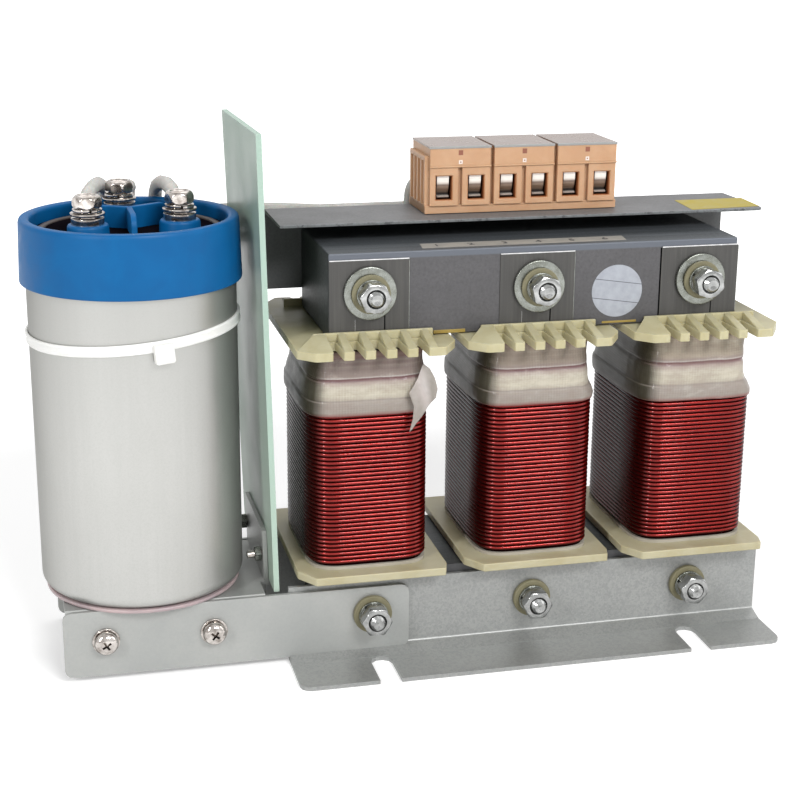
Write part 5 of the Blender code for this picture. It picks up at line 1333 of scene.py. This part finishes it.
def make_terminals():
    for number in (1, 2, 3):
        make_module(number)
    make_end_plate()
    for pole in range(6):
        x = BLOCK_CENTRE + BLOCK_SHIFT + (pole - 2.5) * POLE_PITCH
        make_socket(x, pole, False)
        make_socket(x, pole, True)
        make_clamp(x, pole, False)
        if pole not in (0, 1, 3, 5):
            make_clamp(x, pole, True)


BLOCK_BOTTOM = 0.2076
ENTRY_LOW = BLOCK_BOTTOM + 0.0064
ENTRY_HIGH = ENTRY_LOW + 0.0120
ENTRY_HALF = 0.0043


def entry_tools(centre, y0, y1):
    tools = []
    for pole in (-0.5, 0.5):
        x = centre + pole * POLE_PITCH
        shape = bmesh.new()
        solid_box(shape, (x - ENTRY_HALF, y0, ENTRY_LOW), (x + ENTRY_HALF, y1, ENTRY_HIGH))
        tools.append(tool("entry", shape, Matrix.Identity(4)))
    return tools


def carved_box(name, low, high, tools, replaced=()):
    shape = bmesh.new()
    solid_box(shape, low, high)
    made = piece(name, shape, TERMINAL, replaced)
    if tools:
        carve(made, tools)
    made.data.shade_smooth()
    made.data.set_sharp_from_angle(angle=math.radians(35.0))
    return bevelled(made, 0.00028, 2)


def make_module(number):
    """One two-pole housing: body, wider base, band with its lip, proud panels and a clear cover."""
    low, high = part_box(f"terminal_module_{number}")
    centre = (low.x + high.x) / 2 + BLOCK_SHIFT
    half = POLE_PITCH - 0.00095
    top = high.z
    recess = BLOCK_FRONT + 0.0024
    name = f"module_{number}"
    tools = entry_tools(centre, BLOCK_FRONT - 0.01, recess + 0.012)
    tools += entry_tools(centre, high.y - 0.012, high.y + 0.01)
    body_low = (centre - half, recess, BLOCK_BOTTOM + 0.001)
    carved_box(name, body_low, (centre + half, high.y, top - 0.0004), tools, (f"terminal_module_{number}",))
    wide = POLE_PITCH + 0.0001
    base_left = centre - wide - (0.0010 if number == 1 else 0.0)
    carved_box(name + "_base", (base_left, BLOCK_FRONT + 0.0014, BLOCK_BOTTOM), (centre + wide, high.y - 0.001, BLOCK_BOTTOM + 0.0040), [])
    if number < 3:
        edge = centre + POLE_PITCH
        carved_box(name + "_joint", (edge - 0.0012, recess + 0.0012, BLOCK_BOTTOM + 0.003), (edge + 0.0012, high.y - 0.001, top - 0.0012), [])
    carved_box(name + "_band", (centre - half, BLOCK_FRONT, top - 0.0090), (centre + half, recess + 0.001, top - 0.0004), [])
    carved_box(name + "_lip", (centre - half - 0.0002, BLOCK_FRONT - 0.0006, top - 0.0096), (centre + half + 0.0002, recess + 0.001, top - 0.0088), [])
    for pole in (-0.5, 0.5):
        x = centre + pole * POLE_PITCH
        shape = bmesh.new()
        solid_box(shape, (x - ENTRY_HALF, BLOCK_FRONT - 0.01, ENTRY_LOW), (x + ENTRY_HALF, recess + 0.01, ENTRY_HIGH))
        cutter = tool("entry", shape, Matrix.Identity(4))
        carved_box(
            f"{name}_panel_{'left' if pole < 0 else 'right'}",
            (x - 0.00695, BLOCK_FRONT + 0.0002, BLOCK_BOTTOM + 0.0038),
            (x + 0.00695, recess + 0.001, top - 0.0090),
            [cutter],
        )
    shape = bmesh.new()
    solid_box(shape, (centre - half - 0.0002, BLOCK_FRONT + 0.0003, top - 0.0005), (centre + half + 0.0002, high.y + 0.0006, top + 0.0004))
    bevelled(piece(f"terminal_cover_{number}", shape, COVER), 0.00015, 2)
    shape = bmesh.new()
    solid_box(shape, (centre - half - 0.00025, BLOCK_FRONT - 0.0002, top - 0.0007), (centre + half + 0.00025, BLOCK_FRONT + 0.0008, top + 0.00045))
    bevelled(piece(f"cover_edge_{number}", shape, COVER_EDGE), 0.00015, 2)
    for label, bottom, height, half_width, material in (
        ("mark", 0.0038, 0.0023, 0.0011, MARK_BROWN),
        ("note", 0.0080, 0.0018, 0.0009, MARK_WHITE),
        ("dot", 0.0074, 0.0006, 0.0003, MARK_BROWN),
    ):
        shape = bmesh.new()
        lift = 0.0002 if label == "dot" else 0.0001
        z = top - bottom
        solid_box(shape, (centre - half_width, BLOCK_FRONT - lift, z), (centre + half_width, BLOCK_FRONT + 0.001, z + height))
        piece(f"band_{label}_{number}", shape, material)


BLOCK_SHIFT = 0.0006


def make_end_plate():
    """The ribbed wall at the left of the row: upright ribs with windows between, under a top rail."""
    low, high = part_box("terminal_end_plate")
    shift = BLOCK_SHIFT + 0.0020
    x0, x1 = low.x + shift, high.x + shift
    carved_box("end_plate", (x0 + 0.0014, low.y, low.z), (x1, high.y, high.z), [], ("terminal_end_plate",))
    count = 5
    for i in range(count):
        y = low.y + 0.0011 + (high.y - low.y - 0.0022) * i / (count - 1)
        carved_box(f"end_plate_rib_{i + 1}", (x0, y - 0.0010, low.z), (x0 + 0.0018, y + 0.0010, high.z - 0.0008), [])
    carved_box("end_plate_head", (x0, low.y, high.z - 0.0024), (x0 + 0.0018, high.y, high.z), [])
    carved_box("end_plate_foot", (x0, low.y, low.z), (x0 + 0.0018, high.y, low.z + 0.0040), [])


def make_socket(x, pole, rear):
    """The lining of a wire entry, open to the outside, which carries the painted shade of the entry."""
    y0 = BLOCK_FRONT + 0.0006 if not rear else 0.0346
    y1 = y0 + 0.0120 if not rear else y0 - 0.0100
    half = ENTRY_HALF - 0.00005
    shape = bmesh.new()
    rings = []
    for y in (y0, y1):
        corners = ((-half, ENTRY_LOW + 0.00005), (half, ENTRY_LOW + 0.00005), (half, ENTRY_HIGH - 0.00005), (-half, ENTRY_HIGH - 0.00005))
        rings.append([shape.verts.new((x + a, y, b)) for a, b in corners])
    inner = []
    for y in (y1 - 0.0001 if not rear else y1 + 0.0001, y0):
        corners = ((-half + 0.0002, ENTRY_LOW + 0.00025), (half - 0.0002, ENTRY_LOW + 0.00025), (half - 0.0002, ENTRY_HIGH - 0.00025), (-half + 0.0002, ENTRY_HIGH - 0.00025))
        inner.append([shape.verts.new((x + a, y, b)) for a, b in corners])
    loft(shape, rings, closed_ends=False)
    loft(shape, inner, closed_ends=False)
    shape.faces.new(rings[1])
    shape.faces.new(inner[0])
    for i in range(4):
        j = (i + 1) % 4
        shape.faces.new((rings[0][i], rings[0][j], inner[1][j], inner[1][i]))
    piece(f"socket_{'rear' if rear else 'front'}_{pole + 1}", shape, SOCKET)


def make_clamp(x, pole, rear):
    """The bright clamp inside a wire entry: an upright plate, slightly hollow, with a turned-out lip."""
    path = [
        (0.0013, 0.0118), (0.0013, 0.0100), (0.0015, 0.0080), (0.0019, 0.0062), (0.0023, 0.0050),
        (0.0028, 0.0040), (0.0033, 0.0032), (0.0034, 0.0027), (0.0028, 0.0023), (0.0018, 0.0021),
    ]
    back = [(0.0014, 0.0018), (0.0016, 0.0013), (0.0040, 0.0012), (0.0080, 0.0016), (0.0085, 0.0060), (0.0085, 0.0118)]
    shape = bmesh.new()
    face = BLOCK_FRONT + 0.0008
    rings = []
    half = 0.0029
    for offset in (-half, half):
        ring = []
        for depth, height in path + back:
            y = face + depth if not rear else 0.0350 - 0.0006 - depth
            ring.append(shape.verts.new((x - 0.0001 + offset, y, ENTRY_LOW + height)))
        rings.append(ring)
    loft(shape, rings)
    piece(f"clamp_{'rear' if rear else 'front'}_{pole + 1}", shape, CLAMP_PAINTED_LIGHT, (), 60.0)


def make_coil_lead():
    """The sleeved coil end that comes up behind the plate and into the first pole from the rear."""
    points = [
        (-0.0024, 0.0455, 0.1500), (-0.0024, 0.0470, 0.1580), (-0.0010, 0.0462, 0.1700), (0.0040, 0.0440, 0.1860),
        (0.0098, 0.0408, 0.1990), (0.0128, 0.0392, 0.2070), (0.0134, 0.0390, 0.2125), (0.0152, 0.0392, 0.2166),
        (0.0190, 0.0390, 0.2190), (0.0209, 0.0370, 0.2198), (0.0209, 0.0330, 0.2198), (0.0209, 0.0280, 0.2198),
    ]
    path = []
    padded = [Vector(points[0])] + [Vector(p) for p in points] + [Vector(points[-1])]
    for i in range(1, len(padded) - 2):
        for step in range(5):
            t = step / 5
            p0, p1, p2, p3 = padded[i - 1 : i + 3]
            square = (2 * p0 - 5 * p1 + 4 * p2 - p3) * t * t
            cube = (3 * p1 - p0 - 3 * p2 + p3) * t**3
            path.append(0.5 * (2 * p1 + (p2 - p0) * t + square + cube))
    path.append(padded[-1])
    shape = bmesh.new()
    swept(shape, path, circle_section(0.0021, 14), Vector((0.3, 0.2, 0.1)))
    piece("coil_lead", shape, SLEEVE, (), 80.0)


# ---------------------------------------------------------------------------
# Capacitor
# ---------------------------------------------------------------------------

def axis_of(node):
    low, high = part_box(node)
    return (low.x + high.x) / 2, (low.y + high.y) / 2


CAN_X = CORE_X - 0.1855
AT_CAN = Matrix.Translation((CAN_X, 0, 0))
POST_PHASE = math.radians(96.0)
POST_CIRCLE = 0.024


def post_place(index):
    angle = POST_PHASE + index * FULL_TURN / 3
    return CAN_X + POST_CIRCLE * math.cos(angle), POST_CIRCLE * math.sin(angle)


def make_can():
    low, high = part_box("capacitor_can")
    radius = 0.048
    profile = [(0.0, low.z)]
    steps = 10
    for k in range(steps + 1):
        angle = math.pi / 2 * k / steps
        profile.append((radius - 0.0055 * (1 - math.sin(angle)), low.z + 0.0055 * (1 - math.cos(angle))))
    for k in range(1, 9):
        profile.append((radius, low.z + 0.0055 + (high.z - low.z - 0.0055) * k / 8))
    profile.append((0.0, high.z))
    shape = bmesh.new()
    lathe(shape, profile, 144, AT_CAN, False)
    piece("drawn_can", shape, ALUMINIUM, ("capacitor_can",), 40.0)

    low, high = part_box("base_pad")
    shape = bmesh.new()
    pad = soften([(0, low.z), (0.046, low.z), (0.0462, (low.z + high.z) / 2), (0.0458, high.z), (0, high.z)], 0.0004, 3, False)
    lathe(shape, pad, 120, AT_CAN, False)
    piece("pad_disc", shape, PAD, ("base_pad",), 40.0)


def make_cap():
    low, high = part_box("cap_ring")
    drop = 0.0013
    bottom, top = low.z - drop, high.z - drop
    seat = 0.2050
    profile = [
        (0.0483, bottom), (0.0506, bottom), (0.0508, bottom + 0.0006), (0.0499, top - 0.0018),
        (0.0494, top - 0.0004), (0.0484, top), (0.0462, top), (0.0452, top - 0.0005),
        (0.0447, top - 0.0016), (0.0447, seat), (0.0483, seat),
    ]
    shape = bmesh.new()
    lathe(shape, soften(profile, 0.0007, 4), 144, AT_CAN)
    piece("moulded_ring", shape, BLUE, ("cap_ring",), 35.0)

    lid_low, lid_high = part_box("capacitor_lid")
    floor = 0.2068
    shape = bmesh.new()
    disc = soften([(0, lid_low.z), (0.0442, lid_low.z), (0.0442, floor), (0.0, floor)], 0.0003, 2, False)
    lathe(shape, disc, 120, AT_CAN, False)
    piece("lid_plate", shape, LID_FLOOR, ("capacitor_lid",), 40.0)
    shape = bmesh.new()
    crimp = [(0.0388, floor - 0.0002), (0.0394, floor + 0.0007), (0.0406, floor + 0.0011), (0.0420, floor + 0.0007), (0.0426, floor - 0.0002)]
    lathe(shape, soften(crimp, 0.0006, 3), 120, AT_CAN)
    piece("crimped_rim", shape, CRIMP, (), 40.0)

    shape = bmesh.new()
    for index in range(3):
        x, y = post_place(index)
        place = Matrix.Translation((x, y, 0))
        boss = [(0, floor - 0.0005), (0.0098, floor - 0.0005), (0.0095, floor + 0.0004), (0.0092, 0.2112), (0.0087, 0.2121), (0, 0.2121)]
        lathe(shape, soften(boss, 0.0006, 3, False), 56, place, False)
    piece("post_bosses", shape, BLUE, (), 40.0)
    for index in range(3):
        angle = POST_PHASE + math.pi / 3 + index * FULL_TURN / 3 - math.radians(5.0)
        make_wall(index, angle, floor)


CRIMP = moulded("crimp_brown", rgb(66, 54, 50), rgb(44, 36, 34), 0.4, 0.0, (1.0, 1.0, 1.0), shine=0.4)


def make_wall(index, angle, floor):
    """One wall of the three-way divider, its outer top corner well rounded."""
    top = floor + 0.0100
    outline = [(0.0, floor - 0.0004), (0.0230, floor - 0.0004)]
    outline += [(0.0227, floor + 0.0010)]
    for k in range(9):
        bend = math.pi / 2 * k / 8
        outline.append((0.0227 - 0.0060 + 0.0060 * math.cos(bend), top - 0.0060 + 0.0060 * math.sin(bend)))
    outline.append((0.0, top))
    shape = bmesh.new()
    place = AT_CAN @ Matrix.Rotation(angle, 4, "Z")
    rings = []
    for side in (-0.00135, 0.00135):
        rings.append([shape.verts.new(place @ Vector((a, side, b))) for a, b in outline])
    loft(shape, rings)
    bevelled(piece(f"divider_wall_{index + 1}", shape, BLUE, (), 35.0), 0.0006, 3)


def make_capacitor_terminals():
    draw = random.Random(5)
    for index in range(3):
        x, y = post_place(index)
        node = f"capacitor_terminal_{index + 1}"
        base = 0.2119
        place = Matrix.Translation((x, y, 0))
        shape = bmesh.new()
        z1 = base + 0.0032
        lathe(shape, soften([(0, base), (0.0074, base), (0.0074, z1), (0, z1)], 0.0003, 3, False), 56, place, False)
        z2 = z1 + 0.0010
        solid_box(shape, (-0.0030, -0.004, z1), (0.0030, 0.0105, z2), place)
        z3 = z2 + 0.0013
        lathe(shape, soften([(0.004, z2), (0.0078, z2), (0.0078, z3), (0.004, z3)], 0.0005, 3), 56, place)
        split_ring(shape, 0.0042, 0.0066, 0.0014, place @ Matrix.Translation((0, 0, z3 + 0.0003)), draw.uniform(3.6, 5.2))
        z4 = z3 + 0.0020
        top = z4 + 0.0058
        head = [
            (0.0, z4), (0.0058, z4), (0.00665, z4 + 0.0008), (0.00665, top - 0.0024), (0.0062, top - 0.0012),
            (0.0054, top - 0.0003), (0.0048, top), (0.0043, top - 0.0001), (0.0036, top - 0.0009), (0.0, top - 0.0012),
        ]
        lathe(shape, soften(head, 0.0006, 4, False), 96, place, False, hexagon_limit(0.0119, draw.uniform(0.0, 1.0)))
        barrel = Matrix.Translation((x, y + 0.0084, z1 + 0.0010)) @ FACING_REAR
        ring = [(0.0, 0.0), (0.0022, 0.0), (0.0024, 0.0004), (0.0024, 0.0040), (0.0, 0.0040)]
        lathe(shape, ring, 32, barrel, False)
        piece("dressed_" + node, shape, NICKEL, (node,), 30.0)


def make_tie():
    tilt = math.radians(4.4)
    height = 0.0378 + 0.1247
    place = AT_CAN @ Matrix.Translation((0, 0, height)) @ Matrix.Rotation(-tilt, 4, "Y")
    inner = 0.048 / math.cos(tilt) + 0.0002
    outer = inner + 0.0012
    half = 0.0024
    profile = [
        (inner, -half), (outer - 0.0003, -half), (outer, -half + 0.0004), (outer, -half + 0.0011),
        (outer - 0.0002, -half + 0.0013), (outer - 0.0002, half - 0.0013), (outer, half - 0.0011),
        (outer, half - 0.0004), (outer - 0.0003, half), (inner, half),
    ]
    shape = bmesh.new()
    lathe(shape, profile, 144, place)
    piece("tie_band", shape, WHITE_NYLON, ("cable_tie",), 40.0)
    spin = place @ Matrix.Rotation(math.radians(-80.0), 4, "Z")
    shape = bmesh.new()
    reach = outer - 0.0009
    solid_box(shape, (reach, -0.0045, -0.0075), (reach + 0.0050, 0.0045, 0.0015), spin)
    bevelled(piece("tie_head", shape, WHITE_NYLON, (), 35.0), 0.0012, 3)


def make_leads():
    for number in (1, 2, 3):
        node = NODES[f"capacitor_lead_{number}"]
        shape = bmesh.new()
        shape.from_mesh(node.data)
        bmesh.ops.remove_doubles(shape, verts=shape.verts, dist=0.000005)
        shape.normal_update()
        for vert in shape.verts:
            vert.co += vert.normal * 0.0006
        piece(f"sleeved_lead_{number}", shape, SLEEVE, (f"capacitor_lead_{number}",), 80.0)


# ---------------------------------------------------------------------------
# Stickers and marks
# ---------------------------------------------------------------------------

def make_stickers():
    centre = (0.0975, 0.1745)
    shape = bmesh.new()
    place = Matrix.Translation((centre[0], -0.0340, centre[1])) @ FACING_FRONT
    lathe(shape, [(0, 0), (0.0126, 0.0), (0.0126, 0.00012), (0.0, 0.00012)], 96, place, False)
    sticker = ruled_sticker(centre, math.radians(-8.5), (0.0045, -0.0047))
    piece("ruled_dot", shape, sticker, (), 40.0)

    shape = bmesh.new()
    z = 0.2073
    low = [(0.1444, -0.0093), (0.1814, -0.0066), (0.1825, 0.0172), (0.1462, 0.0170)]
    rings = [[shape.verts.new((x, y, h)) for x, y in low] for h in (z, z + 0.00012)]
    loft(shape, rings)
    piece("yellow_label", shape, YELLOW, (), 40.0)

    shape = bmesh.new()
    z = 0.1980
    low = [(0.0030, -0.0300), (0.1027, -0.0300), (0.1040, -0.0200), (0.0042, -0.0200)]
    rings = [[shape.verts.new((x, y, h)) for x, y in low] for h in (z, z + 0.00012)]
    loft(shape, rings)
    piece("marking_strip", shape, MARK_STRIP, (), 40.0)
    for number in range(1, 7):
        text = bpy.data.curves.new(f"mark_{number}", "FONT")
        text.body = str(number)
        text.size = 0.0062
        text.extrude = 0.00004
        text.align_x = "CENTER"
        text.align_y = "CENTER"
        made = bpy.data.objects.new(f"mark_{number}", text)
        bpy.context.scene.collection.objects.link(made)
        made.location = (0.0110 + (number - 1) * 0.0165, -0.0252, z + 0.00018)
        bpy.context.view_layer.update()
        mesh = bpy.data.meshes.new_from_object(made.evaluated_get(bpy.context.evaluated_depsgraph_get()))
        mesh.transform(made.matrix_world)
        bpy.data.objects.remove(made, do_unlink=True)
        figure = bpy.data.objects.new(f"strip_number_{number}", mesh)
        bpy.context.scene.collection.objects.link(figure)
        adopt(figure, MARK_INK)


# ---------------------------------------------------------------------------
# Studio
# ---------------------------------------------------------------------------

def background_world():
    world = bpy.data.worlds.new("studio")
    bpy.context.scene.world = world
    world.use_nodes = True
    tree = world.node_tree
    tree.nodes.clear()
    path = add(tree, "ShaderNodeLightPath")
    seen = calc(tree, "MAXIMUM", path.outputs["Is Camera Ray"], path.outputs["Is Glossy Ray"])
    seen = calc(tree, "MAXIMUM", seen, path.outputs["Is Transmission Ray"])
    soft = add(tree, "ShaderNodeBackground", {"Color": (1, 1, 1, 1), "Strength": 0.35})
    white = add(tree, "ShaderNodeBackground", {"Color": (1, 1, 1, 1), "Strength": 1.0})
    mixed = add(tree, "ShaderNodeMixShader", {0: seen, 1: soft.outputs[0], 2: white.outputs[0]})
    add(tree, "ShaderNodeOutputWorld", {"Surface": mixed.outputs[0]})


def make_floor():
    shape = bmesh.new()
    lathe(shape, [(0.0, 0.0), (0.5, 0.0), (1.5, 0.0), (4.0, 0.0), (12.0, 0.0)], 96, Matrix.Identity(4), False)
    mesh = bpy.data.meshes.new("floor")
    shape.to_mesh(mesh)
    shape.free()
    floor = bpy.data.objects.new("floor", mesh)
    bpy.context.scene.collection.objects.link(floor)
    made = bpy.data.materials.new("floor_white")
    made.use_nodes = True
    tree = made.node_tree
    tree.nodes.clear()
    path = add(tree, "ShaderNodeLightPath")
    seen = calc(tree, "MAXIMUM", path.outputs["Is Camera Ray"], path.outputs["Is Glossy Ray"])
    seen = calc(tree, "MAXIMUM", seen, path.outputs["Is Transmission Ray"])
    source = add(tree, "ShaderNodeTexCoord").outputs["Object"]
    away = add(tree, "ShaderNodeVectorMath", {0: source}, operation="LENGTH").outputs["Value"]
    glow = remap(tree, away, 0.35, 1.1, 0.30, 1.0)
    diffuse = add(tree, "ShaderNodeBsdfDiffuse", {"Color": (0.86, 0.86, 0.86, 1.0)})
    light = add(tree, "ShaderNodeEmission", {"Color": (1, 1, 1, 1), "Strength": calc(tree, "MULTIPLY", glow, seen)})
    total = add(tree, "ShaderNodeAddShader", {0: diffuse.outputs[0], 1: light.outputs[0]})
    add(tree, "ShaderNodeOutputMaterial", {"Surface": total.outputs[0]})
    floor.data.materials.append(made)


def make_lamp(name, place, target, size, power):
    data = bpy.data.lights.new(name, "AREA")
    data.shape = "RECTANGLE"
    data.size, data.size_y = size
    data.energy = power
    lamp = bpy.data.objects.new(name, data)
    bpy.context.scene.collection.objects.link(lamp)
    lamp.location = place
    lamp.rotation_euler = (Vector(target) - Vector(place)).to_track_quat("-Z", "Y").to_euler()


def make_camera():
    data = bpy.data.cameras.new("camera")
    data.sensor_width = 36.0
    data.lens = 73.91
    data.clip_start = 0.01
    data.clip_end = 50.0
    camera = bpy.data.objects.new("camera", data)
    bpy.context.scene.collection.objects.link(camera)
    yaw, pitch, roll = math.radians(13.76), math.radians(16.82), math.radians(0.43)
    ahead = Vector((math.sin(yaw) * math.cos(pitch), math.cos(yaw) * math.cos(pitch), -math.sin(pitch)))
    side = Vector((math.cos(yaw), -math.sin(yaw), 0.0))
    up = side.cross(ahead)
    right = side * math.cos(roll) + up * math.sin(roll)
    above = up * math.cos(roll) - side * math.sin(roll)
    turn = Matrix((right, above, -ahead)).transposed()
    camera.matrix_world = Matrix.Translation((-0.18320, -0.74913, 0.34968)) @ turn.to_4x4()
    bpy.context.scene.camera = camera


make_sheet_metal()
make_core()
make_barrier()
make_core_fasteners()
make_strip_screws()
make_barrier_screws()
for seed, name in enumerate(SIDES, start=1):
    make_coil(name, seed)
    make_tape(name, seed)
make_flap()
make_bobbins()
make_terminals()
make_coil_lead()
make_can()
make_cap()
make_capacitor_terminals()
make_tie()
make_leads()
make_stickers()

background_world()
make_floor()
TARGET = (0.0, 0.0, 0.12)
make_lamp("key", (0.38, -1.42, 1.15), TARGET, (0.8, 0.36), 22.0)
make_lamp("side_key", (-1.15, -0.97, 0.85), TARGET, (0.12, 0.8), 10.5)
make_lamp("fill", (1.5, -0.6, 0.9), TARGET, (0.8, 1.0), 4.0)
make_lamp("top", (0.1, 0.6, 1.6), TARGET, (1.6, 1.0), 9.0)
make_camera()
bpy.context.scene.view_settings.view_transform = "Standard"
